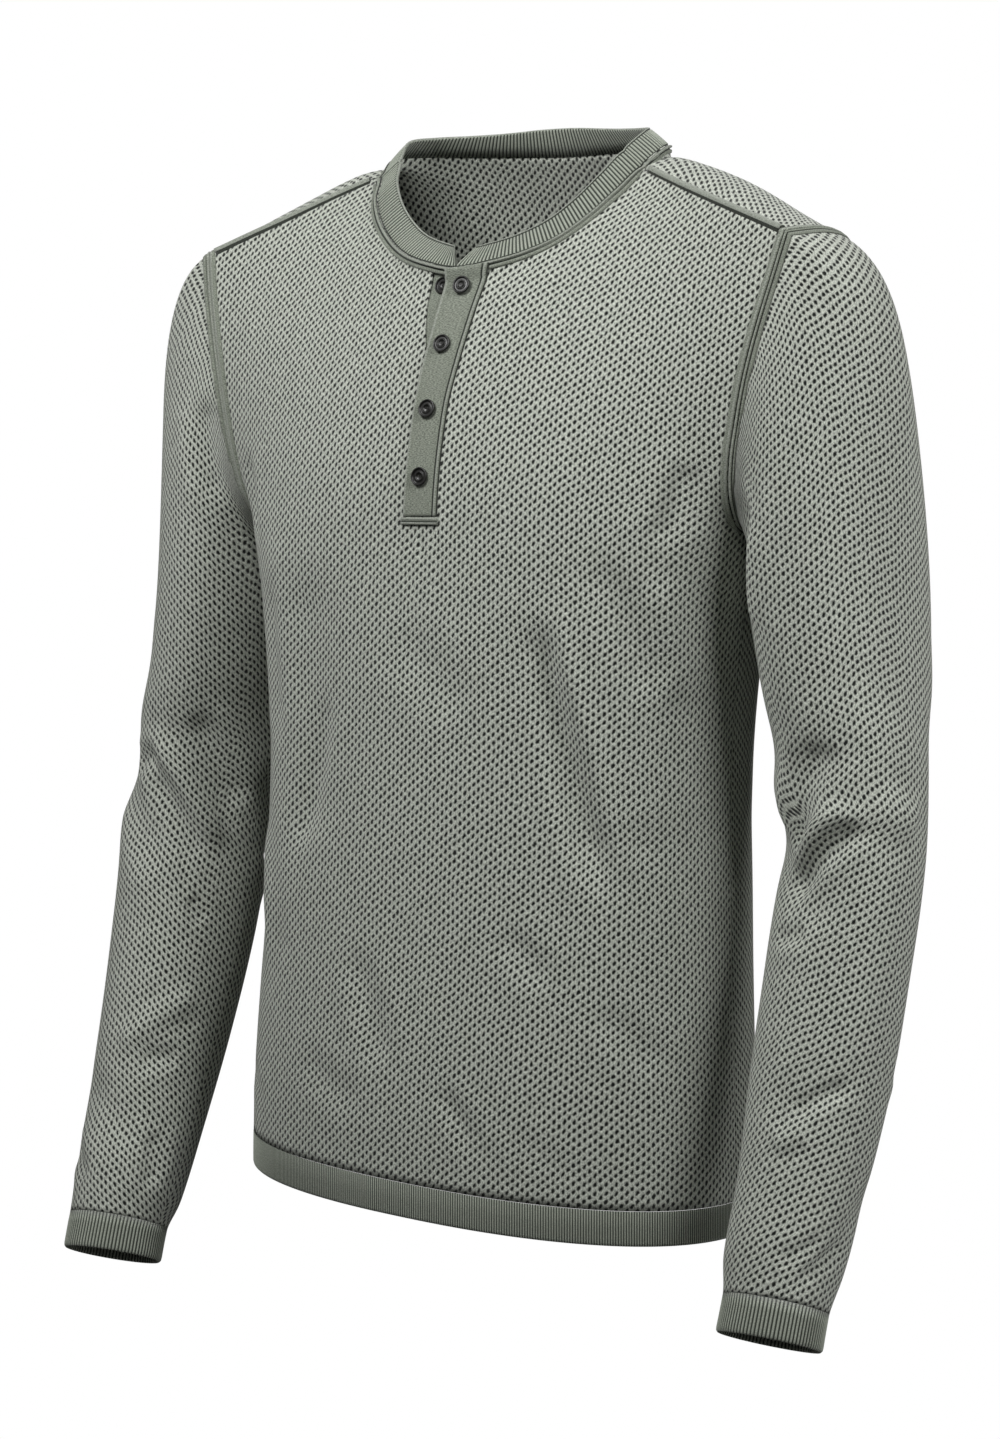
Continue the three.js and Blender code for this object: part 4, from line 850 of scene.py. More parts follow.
class Paint:
    """A material under construction."""

    def __init__(self, name: str) -> None:
        """Starts a material with a Principled shader."""
        self.material = bpy.data.materials.new(name)
        self.material.use_nodes = True
        self.tree = self.material.node_tree
        self.shader = next(n for n in self.tree.nodes if n.type == "BSDF_PRINCIPLED")

    def node(self, kind: str, settings: dict | None = None, **inputs: object) -> bpy.types.Node:
        """Adds a node.

        Args:
            kind: the node's type.
            settings: its own settings, set first.
            inputs: values, terms or sockets of its inputs, by name with _ for a space.

        Returns:
            The node.
        """
        node = self.tree.nodes.new(kind)
        for key, value in (settings or {}).items():
            setattr(node, key, value)
        for key, value in inputs.items():
            socket = node.inputs[key.replace("_", " ")]
            self.link(value, socket)
        return node

    def link(self, value: object, socket: bpy.types.NodeSocket) -> None:
        """Sets or links a socket."""
        if isinstance(value, Term):
            self.tree.links.new(value.socket, socket)
        elif isinstance(value, bpy.types.NodeSocket):
            self.tree.links.new(value, socket)
        else:
            socket.default_value = value

    def term(self, socket: bpy.types.NodeSocket) -> Term:
        """Wraps a socket of this material."""
        return Term(self.tree, socket)

    def cloth_place(self) -> tuple[Term, Term, bpy.types.NodeSocket]:
        """Gives the place on the flat cloth, in millimetres, as two terms and a vector."""
        uv = self.node("ShaderNodeUVMap", {"uv_map": "cloth"}).outputs["UV"]
        parts = self.node("ShaderNodeSeparateXYZ", Vector=uv)
        return self.term(parts.outputs["X"]), self.term(parts.outputs["Y"]), uv

    def noise(self, vector: bpy.types.NodeSocket, scale: float, detail: float = 2.0) -> Term:
        """Adds a noise read at a vector."""
        node = self.node("ShaderNodeTexNoise", Vector=vector, Scale=scale, Detail=detail)
        return self.term(node.outputs["Fac"])

    def blend(self, factor: Term, low: tuple, high: "tuple | bpy.types.NodeSocket"
              ) -> bpy.types.NodeSocket:
        """Mixes a colour with another colour, or with a coloured socket, by a factor."""
        node = self.tree.nodes.new("ShaderNodeMix")
        node.data_type = "RGBA"
        colours = [s for s in node.inputs if s.type == "RGBA"]
        self.link(factor, node.inputs[0])
        colours[0].default_value = (*low, 1)
        self.link((*high, 1) if isinstance(high, tuple) else high, colours[1])
        return next(s for s in node.outputs if s.type == "RGBA")

    def finish(self, colour: object, rough: float, height: Term | None = None,
               bump: float = 0.0) -> bpy.types.Material:
        """Sets the shader's sockets.

        Args:
            colour: a colour or its socket.
            rough: the roughness.
            height: the relief in millimetres.
            bump: how much of the relief is shown.

        Returns:
            The material.
        """
        self.link(colour, self.shader.inputs["Base Color"])
        self.shader.inputs["Roughness"].default_value = rough
        if height is not None:
            node = self.node("ShaderNodeBump", Height=height)
            node.inputs["Strength"].default_value = bump
            node.inputs["Distance"].default_value = MM
            self.tree.links.new(node.outputs["Normal"], self.shader.inputs["Normal"])
        return self.material


@dataclass(frozen=True)
class EyeletKnit:
    """Open knit with a half-drop lattice of slanted eyelets, coloured with painted shade round the
    eyelets and painted highlight along the strands.
    """

    pitch: float = 5.95
    drop: float = 5.1
    slant: float = 24.0
    half_width: float = 0.72
    half_height: float = 1.2
    # light is the strands' colour carrying painted highlight; shade is painted shade round the
    # eyelets and between the strands.
    light: tuple[float, float, float] = (0.84, 0.88, 0.78)
    shade: tuple[float, float, float] = (0.045, 0.052, 0.04)
    # The eyelets' colour is painted shade: near black, standing for the dark inside seen through
    # the openings.
    painted_hole_shade: tuple[float, float, float] = (0.004, 0.005, 0.004)

    def eyelet(self, u: Term, v: Term, shift: float) -> Term:
        """Gives how far a place is from the nearest eyelet of one lattice, 1 at its rim."""
        sin, cos = math.sin(math.radians(self.slant)), math.cos(math.radians(self.slant))
        a = ((u / self.pitch + shift).maths("FRACT") - 0.5) * self.pitch
        b = ((v / self.drop + shift).maths("FRACT") - 0.5) * self.drop
        p = (a * cos - b * sin) / self.half_width
        q = (a * sin + b * cos) / self.half_height
        return (p * p + q * q).maths("SQRT")

    def material(self) -> bpy.types.Material:
        """Builds the material."""
        paint = Paint("eyelet_knit")
        u, v, uv = paint.cloth_place()
        u = u + (paint.noise(uv, 0.05) - 0.5) * 3.0 + (paint.noise(uv, 0.6) - 0.5) * 1.3
        v = v + (paint.noise(uv, 0.07) - 0.5) * 2.4 + (paint.noise(uv, 0.5) - 0.5) * 0.8
        radius = self.eyelet(u, v, 0.0).maths("MINIMUM", self.eyelet(u, v, 0.5))
        radius = radius * (0.62 + paint.noise(uv, 0.35) * 0.8)
        sin, cos = math.sin(math.radians(self.slant)), math.cos(math.radians(self.slant))
        along = paint.node("ShaderNodeCombineXYZ", X=(u * cos - v * sin) * 1.5,
                           Y=(u * sin + v * cos) * 0.45)
        strand_and_highlight = paint.noise(along.outputs[0], 1.3, 2.0).ramp(0.32, 0.66)
        fibre = paint.noise(uv, 3.2, 3.0).ramp(0.25, 0.75)
        # Darker towards each eyelet's rim as painted shade; the noise along the strands is partly
        # yarn grain and partly painted highlight on the diagonal strands, and the fibre noise is
        # yarn grain.
        tone = radius.ramp(0.85, 1.9) * (0.3 + strand_and_highlight * 0.45 + fibre * 0.35)
        cloth = paint.blend(tone, self.shade, self.light)
        # The eyelets are filled with painted shade.
        colour = paint.blend(radius.ramp(0.62, 1.12), self.painted_hole_shade, cloth)
        height = radius.ramp(0.5, 2.0) * 0.8 + strand_and_highlight * 0.4 + fibre * 0.22
        return sheen(paint.finish(colour, 0.88, height, 0.8))


@dataclass(frozen=True)
class RibKnit:
    """Upright rib, darker down into the valleys between ribs as painted shade. The places on its
    cloth count the ribs along it.
    """

    light: tuple[float, float, float] = (0.5, 0.54, 0.455)
    dark: tuple[float, float, float] = (0.03, 0.036, 0.027)

    def material(self) -> bpy.types.Material:
        """Builds the material."""
        paint = Paint("rib_knit")
        u, v, _ = paint.cloth_place()
        crown = (u * (2 * math.pi)).maths("COSINE") * 0.5 + 0.5
        place = paint.node("ShaderNodeCombineXYZ", X=u * 2.2, Y=v * 1.1)
        fibre = paint.noise(place.outputs[0], 1.5, 3.0).ramp(0.3, 0.72)
        # Painted shade: darker down into the valleys between the ribs; the fibre noise is yarn
        # grain.
        tone = crown.ramp(0.0, 0.85) * (0.55 + fibre * 0.45)
        colour = paint.blend(tone, self.dark, self.light)
        return sheen(paint.finish(colour, 0.88, crown * 0.35 + fibre * 0.22, 0.6))


@dataclass(frozen=True)
class FineKnit:
    """Close plain knit whose short stitches lie across the strip."""

    name: str = "plain_knit"
    light: tuple[float, float, float] = (0.34, 0.37, 0.305)
    dark: tuple[float, float, float] = (0.12, 0.134, 0.108)
    across: float = 0.45
    along: float = 1.3
    relief: float = 0.7

    def material(self) -> bpy.types.Material:
        """Builds the material."""
        paint = Paint(self.name)
        u, v, _ = paint.cloth_place()
        place = paint.node("ShaderNodeCombineXYZ", X=u * self.along, Y=v * self.across)
        stitches = paint.noise(place.outputs[0], 1.6, 3.0).ramp(0.3, 0.68)
        colour = paint.blend(stitches, self.dark, self.light)
        material = paint.finish(colour, 0.88, stitches * 0.35, self.relief)
        return sheen(material)


@dataclass(frozen=True)
class ButtonHorn:
    """Dark charcoal button with a soft polish and faint mottling."""

    def material(self) -> bpy.types.Material:
        """Builds the material."""
        paint = Paint("dark_button")
        place = paint.node("ShaderNodeTexCoord").outputs["Object"]
        mottle = paint.noise(place, 420.0, 3.0).ramp(0.35, 0.7)
        colour = paint.blend(mottle, (0.006, 0.006, 0.005), (0.012, 0.012, 0.01))
        material = paint.finish(colour, 0.38)
        paint.shader.inputs["Coat Weight"].default_value = 0.12
        paint.shader.inputs["Coat Roughness"].default_value = 0.2
        return material


def sheen(material: bpy.types.Material) -> bpy.types.Material:
    """Gives a cloth its faint nap."""
    shader = next(n for n in material.node_tree.nodes if n.type == "BSDF_PRINCIPLED")
    shader.inputs["Sheen Weight"].default_value = 0.25
    shader.inputs["Sheen Roughness"].default_value = 0.5
    shader.inputs["Specular IOR Level"].default_value = 0.2
    return material


def dress(obj: bpy.types.Object, materials: list[bpy.types.Material], slot: str,
          *nodes: str) -> None:
    """Gives a piece its materials, hangs it on the root and hides the solids that it stands for.
    """
    for material in materials:
        obj.data.materials.append(material)
    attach(obj, "root")
    if nodes:
        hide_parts(*nodes)
    log.info("%s: %d faces", obj.name, len(obj.data.polygons))


@dataclass(frozen=True)
class Finishes:
    """The shirt's materials."""

    eyelet: bpy.types.Material
    plain: list[bpy.types.Material]
    rib: list[bpy.types.Material]
    horn: list[bpy.types.Material]


@dataclass
class Body:
    """Front and back panels, with the slit behind the placket."""

    form: Form
    finishes: Finishes
    slit: tuple[tuple[float, float], ...] = ((-18.5, -60), (-18, -84), (-17, -100), (-13, -118),
                                             (-9.5, -130), (-9, -226), (8, -226), (8, -60))
    near_x: float = 26.0
    near_z: float = -236.0

    def build(self) -> None:
        """Builds both panels."""
        form = self.form
        for name, grid, normals, sign in (("front", form.front, form.front_normals, 1),
                                          ("back", form.back, form.back_normals, -1)):
            places = panel_places(grid, normals, sign, form.middle)
            panel = grid_mesh(f"{name}_cloth", grid, places, np.array([0.0, -sign, 0.0]))
            if name == "front":
                self.open_slit(panel)
            thicken(panel, CUT.wall)
            dress(panel, [self.finishes.eyelet], "mesh_knit", name)

    def open_slit(self, panel: bpy.types.Object) -> None:
        """Cuts the front open behind the placket, along straight lines."""
        bm = bmesh.new()
        bm.from_mesh(panel.data)
        corners = [np.array(corner, dtype=float) for corner in self.slit]
        for a, b in zip(corners, corners[1:]):
            near = [f for f in bm.faces if self.near_slit(f)]
            parts = near + list({e for f in near for e in f.edges})
            parts += list({v for f in near for v in f.verts})
            normal = Vector((b[1] - a[1], 0, a[0] - b[0])).normalized()
            bmesh.ops.bisect_plane(bm, geom=parts, dist=1e-6, plane_no=normal,
                                   plane_co=Vector((a[0], 0, a[1])) * MM)
        inside = [f for f in bm.faces if self.near_slit(f) and self.in_slit(f)]
        bmesh.ops.delete(bm, geom=inside, context="FACES")
        bm.to_mesh(panel.data)
        bm.free()

    def near_slit(self, face: bmesh.types.BMFace) -> bool:
        """Tells whether a face lies about the slit."""
        centre = face.calc_center_median() / MM
        return abs(centre.x) < self.near_x and centre.z > self.near_z and centre.y < 0

    def in_slit(self, face: bmesh.types.BMFace) -> bool:
        """Tells whether a face lies within the slit's outline."""
        centre = face.calc_center_median() / MM
        inside = False
        for (x1, z1), (x2, z2) in zip(self.slit, self.slit[1:] + self.slit[:1]):
            if (z1 > centre.z) != (z2 > centre.z):
                if centre.x < x1 + (centre.z - z1) * (x2 - x1) / (z2 - z1):
                    inside = not inside
        return inside


@dataclass
class Sleeves:
    """Both sleeves and their rib cuffs."""

    form: Form
    finishes: Finishes
    cuff_radius: float = 31.0
    rib_pitch: float = 2.3
    relief: float = 0.32

    def build(self) -> None:
        """Builds a sleeve and a cuff on each side."""
        for side in Side:
            name = side.name.lower()
            grid = self.form.sleeve(side)
            closed = ring_closed(grid)
            outer = int(np.argmax(closed[len(closed) // 2, :, 0] * side.value))
            places = cloth_uv(closed, outer, True)
            obj = grid_mesh(f"sleeve_{name}_cloth", closed, places, self.outward(closed),
                            join_columns=True)
            thicken(obj, CUT.wall)
            dress(obj, [self.finishes.eyelet], "mesh_knit", f"sleeve_{name}")
            # The declared width is that of the rows below the cap. The cap's own rows are left
            # out of it: along the armhole's curve they are longer than the flat cut is wide.
            # Nothing reads the copy.
            below = places.copy()
            below[:CUT.cap_rows, :, 0] = 0
            self.cuff(side)

    @staticmethod
    def outward(grid: np.ndarray) -> np.ndarray:
        """Gives the way out of a sleeve at its grid's middle point."""
        row = grid[len(grid) // 2]
        return unit(row[len(row) // 2] - row[:-1].mean(axis=0))

    def cuff(self, side: Side) -> None:
        """Builds a rib cuff."""
        name = side.name.lower()
        girth = 2 * math.pi * self.cuff_radius
        ribs = round(girth / self.rib_pitch)
        steps = ribs * 6
        turns = np.arange(steps) / steps * 2 * math.pi
        wave = self.relief * np.cos(turns * ribs)
        top, bottom = CUT.cuff_top_z - 0.2, CUT.cuff_bottom_z
        section = [(0.1, -0.3), (0, 0), (0.3, 0), (0.6, 0), (0.85, 0), (0.94, -0.15),
                   (0.985, -0.55), (1, -1), (0.98, -1.6), (0.9, -1.9), (0.5, -1.9), (0.02, -1.9)]
        rows = []
        for share, inset in section:
            rising = ease(min(share, 1 - share) / 0.07)
            z = mix(top, bottom, share)
            facing = 1 if inset > -1 else -1
            rows.append(self.form.arm_ring(z, turns, wave * rising * facing + inset))
        grid = np.stack(rows) * np.array([side.value, 1, 1])
        outward = unit(grid[len(grid) // 2, steps // 2] - grid[len(grid) // 2].mean(axis=0))
        obj = swept(f"cuff_{name}_rib", grid, outward, True, "", ribs)
        dress(obj, self.finishes.rib, "rib_knit", f"cuff_{name}")
        girth * MM


@dataclass
class HemBand:
    """The rib band round the hem."""

    form: Form
    finishes: Finishes
    rib_pitch: float = 1.6
    relief: float = 0.25

    def build(self) -> None:
        """Builds the band from the panels' lowest rows."""
        front, back = self.form.front[0], self.form.back[0]
        ring = np.vstack([front, back[-2:0:-1]])
        girth = reach_along(np.vstack([ring, ring[:1]]))[-1]
        ribs = round(girth / self.rib_pitch)
        steps = ribs * 5
        line = at_reach(np.vstack([ring, ring[:1]]), np.arange(steps) / steps * girth)
        along = unit(np.roll(line, -3, axis=0) - np.roll(line, 3, axis=0))
        normals = unit(np.cross(along, (0, 0, 1)))
        wave = self.relief * np.cos(np.arange(steps) / steps * 2 * math.pi * ribs)
        section = [(0.01, -0.35), (0.04, 0), (0.5, 0), (0.9, 0), (0.965, -0.25), (1, -0.9),
                   (0.98, -1.7), (0.9, -2), (0.04, -2)]
        rows = []
        for share, out in section:
            rising = ease(min(share, 1 - share) / 0.07) * (1 if out > -1 else -0.5)
            moved = line + normals * (out + wave * rising)[:, None]
            moved[:, 2] -= share * CUT.hem_band
            rows.append(moved)
        obj = swept("hem_band_rib", np.stack(rows), np.array([0.0, 1.0, 0.0]), True, "", ribs)
        dress(obj, self.finishes.rib, "rib_knit", "hem_band")


@dataclass
class NeckBand:
    """The rib neck band, parted in a notch at centre front, and the tape below its seam."""

    form: Form
    finishes: Finishes
    surface: Surface
    rib_pitch: float = 2.6
    relief: float = 0.4
    notch_left: float = 8.0
    notch_right: float = 15.0
    notch_reach: float = 32.0
    gap: float = 0.6

    def frames(self) -> tuple[np.ndarray, np.ndarray, np.ndarray, np.ndarray]:
        """Gives the neck seam from centre front over the wearer's left side and round.

        Returns:
            The points, the band's lean, the panels' normals, and the ways into the panels.
        """
        form = self.form
        m, k = form.middle, form.neck_reach
        seam, normal, into = [], [], []
        for grid, normals, columns in (
            (form.front, form.front_normals, range(m, m + k)),
            (form.back, form.back_normals, range(m + k, m - k - 1, -1)),
            (form.front, form.front_normals, range(m - k + 1, m + 1)),
        ):
            for c in columns:
                seam.append(grid[-1, c])
                normal.append(normals[-2, c])
                into.append(unit(grid[-4, c] - grid[-1, c]))
        p, n, inward = np.array(seam), np.array(normal), np.array(into)
        degrees = np.degrees(np.arctan2(np.abs(p[:, 0]), 3 - p[:, 1]))
        lean = unit(np.stack([-p[:, 0], 3 - p[:, 1], 0 * p[:, 0]], axis=-1))
        lean = lean * NECK_LEAN.read("inward", degrees)[:, None]
        lean[:, 2] = NECK_LEAN.read("rise", degrees)
        along = unit(np.gradient(p, axis=0))
        side = unit(np.cross(n, along))
        side *= np.sign(np.sum(side * inward, axis=-1, keepdims=True))
        return p, eased(lean, 24), unit(eased(n, 40)), unit(eased(side, 40))

    def build(self) -> None:
        """Builds the band and the tape."""
        p, lean, n, into = self.frames()
        reach = reach_along(p)
        total = reach[-1]
        ribs = round(total / self.rib_pitch)
        steps = ribs * 5
        arc = np.linspace(self.gap, total - self.gap, steps + 1)
        from_left = np.clip(1 - arc / self.notch_reach, 0, 1) ** 2
        from_right = np.clip(1 - (total - arc) / self.notch_reach, 0, 1) ** 2
        wave = self.relief * np.cos(np.arange(steps + 1) / steps * 2 * math.pi * ribs)
        section = [(0.02, -0.7), (0.06, 0), (0.25, 0.15), (0.55, 0.15), (0.87, 0), (0.91, -0.35),
                   (0.94, 0.3), (0.98, 0.35), (1.0, -0.4), (0.985, -1.5), (0.93, -1.9),
                   (0.5, -1.9), (0.03, -1.9)]
        rows = []
        for up, out in section:
            parted = up ** 1.5 * (self.notch_left * from_left - self.notch_right * from_right)
            want = np.clip(arc + parted, 0, total)
            base = at_reach(p, want)
            leaning = np.stack([np.interp(want, reach, lean[:, k]) for k in range(3)], axis=-1)
            along = unit(np.gradient(base, axis=0))
            facing = unit(np.cross(along, leaning))
            outer = base * (1, 1, 0) + (0, -3, 40)
            facing *= np.sign(np.sum(facing * outer, axis=-1, keepdims=True))
            rising = ease((0.92 - up) / 0.06) * ease(up / 0.06) * (1 if out > -1 else -0.6)
            rows.append(base + leaning * up + facing * (out + wave * rising)[:, None])
        # The band's lower edge and the groove under its top take painted shade; its rolled top
        # edge is pale, partly worn and partly painted highlight.
        obj = swept("neck_band_rib", np.stack(rows), np.array([0.0, 0.3, 1.0]), False,
                    "dmmmmdpppmmmm", ribs)
        dress(obj, self.finishes.rib, "rib_knit", "neck_band")
        tape = [(0.1, -0.5), (0.1, 0.9), (0.5, 1.7), (1.1, 2.0), (1.7, 1.6), (2.0, 0.3),
                (2.5, 0.2), (2.9, 1.1), (3.7, 1.35), (4.5, 1.2), (5.0, 0.8), (5.2, 0.1),
                (5.1, -0.5)]
        # The tape's ridge is pale, partly worn and partly painted highlight; its grooves and edges
        # take painted shade.
        strip("neck_tape_knit", self.surface, p, n, into, tape, False, "dmppmddmmmmdm",
              self.finishes.plain, "neck_tape")


def resting(surface: Surface, place: np.ndarray, normal: np.ndarray, reach: float = 2.2
            ) -> np.ndarray:
    """Gives the cloth's point under a place, or the place itself beyond the cloth's edge."""
    found = surface.under(place, normal)
    return found if np.linalg.norm(found - place) < reach else place


def strip(name: str, surface: Surface, p: np.ndarray, n: np.ndarray, into: np.ndarray,
          section: list[tuple[float, float]], closed: bool, tones: str,
          materials: list[bpy.types.Material], node: str) -> None:
    """Lays a strip with an even section on the cloth along a seam.

    Args:
        name: the object's name.
        surface: the cloth.
        p: points along the seam.
        n: the cloth's normals there.
        into: the ways across the strip.
        section: distances across, and heights over the cloth.
        closed: True if the seam is a ring.
        tones: the tones of the section's stretches.
        materials: the strip's materials, in the tones' order.
        node: the solid that it stands for.
    """
    rows = [[resting(surface, a + i * across, b) + b * out for a, b, i in zip(p, n, into)]
            for across, out in section]
    grid = np.array(rows)
    obj = swept(name, grid, n[len(n) // 2], closed, tones)
    dress(obj, materials, "plain_knit", node)


@dataclass
class Seams:
    """The raised armhole seams and the ridges along the shoulder seams."""

    form: Form
    finishes: Finishes
    surface: Surface

    def build(self) -> None:
        """Builds the seams of both sides."""
        for side in Side:
            self.armhole(side)
            self.shoulder(side)

    def armhole(self, side: Side) -> None:
        """Builds an armhole's band of two ridges."""
        form = self.form
        edge, inner = (-1, -4) if side is Side.LEFT else (0, 3)
        low = form.low
        p = dropped(form.armhole_loop(side))
        beside = np.concatenate([form.front[low:, inner], form.back[-2:low:-1, inner]])
        n = np.concatenate([form.front_normals[low:, edge], form.back_normals[-2:low:-1, edge]])
        into = beside - p
        into[0] = form.front[low - 3, edge] - p[0]
        for _ in range(6):
            n = unit(n + np.roll(n, 1, axis=0) + np.roll(n, -1, axis=0))
        along = unit(np.roll(p, -1, axis=0) - np.roll(p, 1, axis=0))
        across = unit(np.cross(n, along))
        across *= np.sign(np.median(np.sum(across * into, axis=-1)))
        section = [(-4.4, -0.5), (-4.5, 0.5), (-4.0, 1.0), (-3.1, 1.35), (-2.3, 1.3), (-1.8, 0.9),
                   (-1.6, -0.1), (-1.2, -0.1), (-1.0, 1.2), (-0.2, 1.75), (0.6, 1.3), (0.8, -0.1),
                   (1.2, -0.1), (1.4, 1.1), (2.1, 1.6), (3.4, 1.55), (4.7, 1.3), (5.3, 0.7),
                   (5.5, -0.5)]
        name = side.name.lower()
        # The two ridges are pale, partly worn and partly painted highlight; the grooves and outer
        # edges take painted shade.
        strip(f"armhole_seam_{name}_knit", self.surface, p, n, across, section, True,
              "dmmmmmddmppddmpmmmd", self.finishes.plain, f"armhole_seam_{name}")

    def shoulder(self, side: Side) -> None:
        """Builds a shoulder seam's rounded ridge."""
        form = self.form
        columns = slice(form.middle + form.neck_reach, None)
        if side is Side.RIGHT:
            columns = slice(form.middle - form.neck_reach, None, -1)
        p, n = form.back[-1, columns], form.back_normals[-2, columns]
        into = unit(form.back[-4, columns] - p)
        reach = reach_along(p)
        keep = (reach > 4.6) & (reach < reach[-1] - 5.0)
        section = [(-1.3, -0.5), (-1.3, 0.2), (-0.7, 0.2), (-0.5, 1.2), (0.2, 2.2), (1.5, 2.7),
                   (2.9, 2.3), (4.0, 1.2), (4.6, 0.1), (4.5, -0.5)]
        name = side.name.lower()
        # The ridge's top is pale, partly worn and partly painted highlight; painted shadow lies
        # along its feet.
        strip(f"shoulder_seam_{name}_knit", self.surface, p[keep], n[keep], into[keep], section,
              False, "dddpppmmdd", self.finishes.plain, f"shoulder_seam_{name}")


@dataclass
class Placket:
    """The two placket strips, the stitched end and the buttons."""

    form: Form
    finishes: Finishes
    surface: Surface
    foot_z: float = -230.0
    top_z: float = -79.0
    rows: int = 74
    forward: tuple[float, float, float] = (0, -1, 0)

    def face(self, x: float, z: float) -> np.ndarray:
        """Gives the front's point at a place seen from the front."""
        return self.surface.under(np.array([x, -85.0, z]), np.array(self.forward, float), 40)

    def neck_z(self, x: np.ndarray) -> np.ndarray:
        """Gives the neck seam's height at a distance from the centre."""
        table = Table("x y z", NECK_FRONT)
        return table.read("z", np.abs(x))

    def over_strip(self) -> None:
        """Builds the strip that lies on top, with a rolled free edge and a ridged seam edge."""
        section = [(0.03, 0.25), (0.0, 0.75), (0.02, 1.5), (0.05, 2.1), (0.09, 2.0),
                   (0.115, 1.35),
                   (0.3, 1.4), (0.5, 1.45), (0.7, 1.4), (0.875, 1.35), (0.885, 0.9), (0.905, 0.9),
                   (0.92, 1.4), (0.95, 1.55), (0.975, 1.3), (0.985, 0.5), (1.0, 0.2), (1.01, -0.2),
                   (0.7, 0.0), (0.3, 0.1)]
        levels = np.linspace(self.foot_z, self.top_z, self.rows + 1)
        columns = []
        for k, z in enumerate(levels):
            free, seam, gape = (float(PLACKET.read(n, z)) for n in ("free", "seam", "gape"))
            line = []
            for share, out in section:
                x = mix(free, seam, share)
                level = z + k / self.rows * float(self.neck_z(x) - self.neck_z(0))
                lift = gape * (1 - share) ** 2 + 1.7 * float(ease((z + 88) / 4))
                line.append(self.face(x, level) + np.array(self.forward) * (0.35 + lift + out))
            columns.append(line)
        grid = np.array(columns).transpose(1, 0, 2)
        # The rolled free edge and the seam ridge are pale, partly worn and partly painted
        # highlight; the grooves beside them take painted shade.
        obj = swept("placket_over_knit", grid, np.array(self.forward, float), False,
                    "ppppmmmmmddmppmddmmm")
        dress(obj, self.finishes.plain, "plain_knit", "placket_over")

    def under_strip(self) -> None:
        """Builds the strip that lies behind the slit."""
        levels = np.linspace(self.foot_z, -80.0, self.rows + 1)
        section = [(-19.5, -2.4), (-19.5, -2.0), (-15.8, -1.6), (-14.0, -1.5), (-4, -1.5),
                   (11, -2.4),
                   (11, -3.6), (-4, -3.2), (-19.5, -3.4)]
        columns = [[self.face(x, z) + np.array(self.forward) * out for x, out in section]
                   for z in levels]
        grid = np.array(columns).transpose(1, 0, 2)
        obj = swept("placket_under_knit", grid, np.array(self.forward, float), False)
        dress(obj, self.finishes.plain, "plain_knit", "placket_under")

    def end(self) -> None:
        """Builds the stitched end of the placket, two ridges across it."""
        section = [(-230.2, -0.3), (-230.3, 1.2), (-231.2, 2.0), (-232.0, 1.9), (-232.7, 1.1),
                   (-233.5, 1.9), (-234.4, 1.9), (-235.2, 1.1), (-235.3, -0.3)]
        xs = np.linspace(-12.6, 13.6, 20)
        grid = np.array([[self.face(x, z) + np.array(self.forward) * out for x in xs]
                         for z, out in section])
        # The two ridges are pale, partly worn and partly painted highlight; painted shade lies
        # between and beside them.
        obj = swept("placket_end_knit", grid, np.array(self.forward, float), False,
                    "dppmdppmd")
        dress(obj, self.finishes.plain, "plain_knit", "placket_end")

    def build(self) -> None:
        """Builds the placket and its buttons."""
        self.over_strip()
        self.under_strip()
        self.end()
        for name in ("button_1", "button_2", "button_3", "button_4", "button_under"):
            Button(name).build(self.finishes.horn)


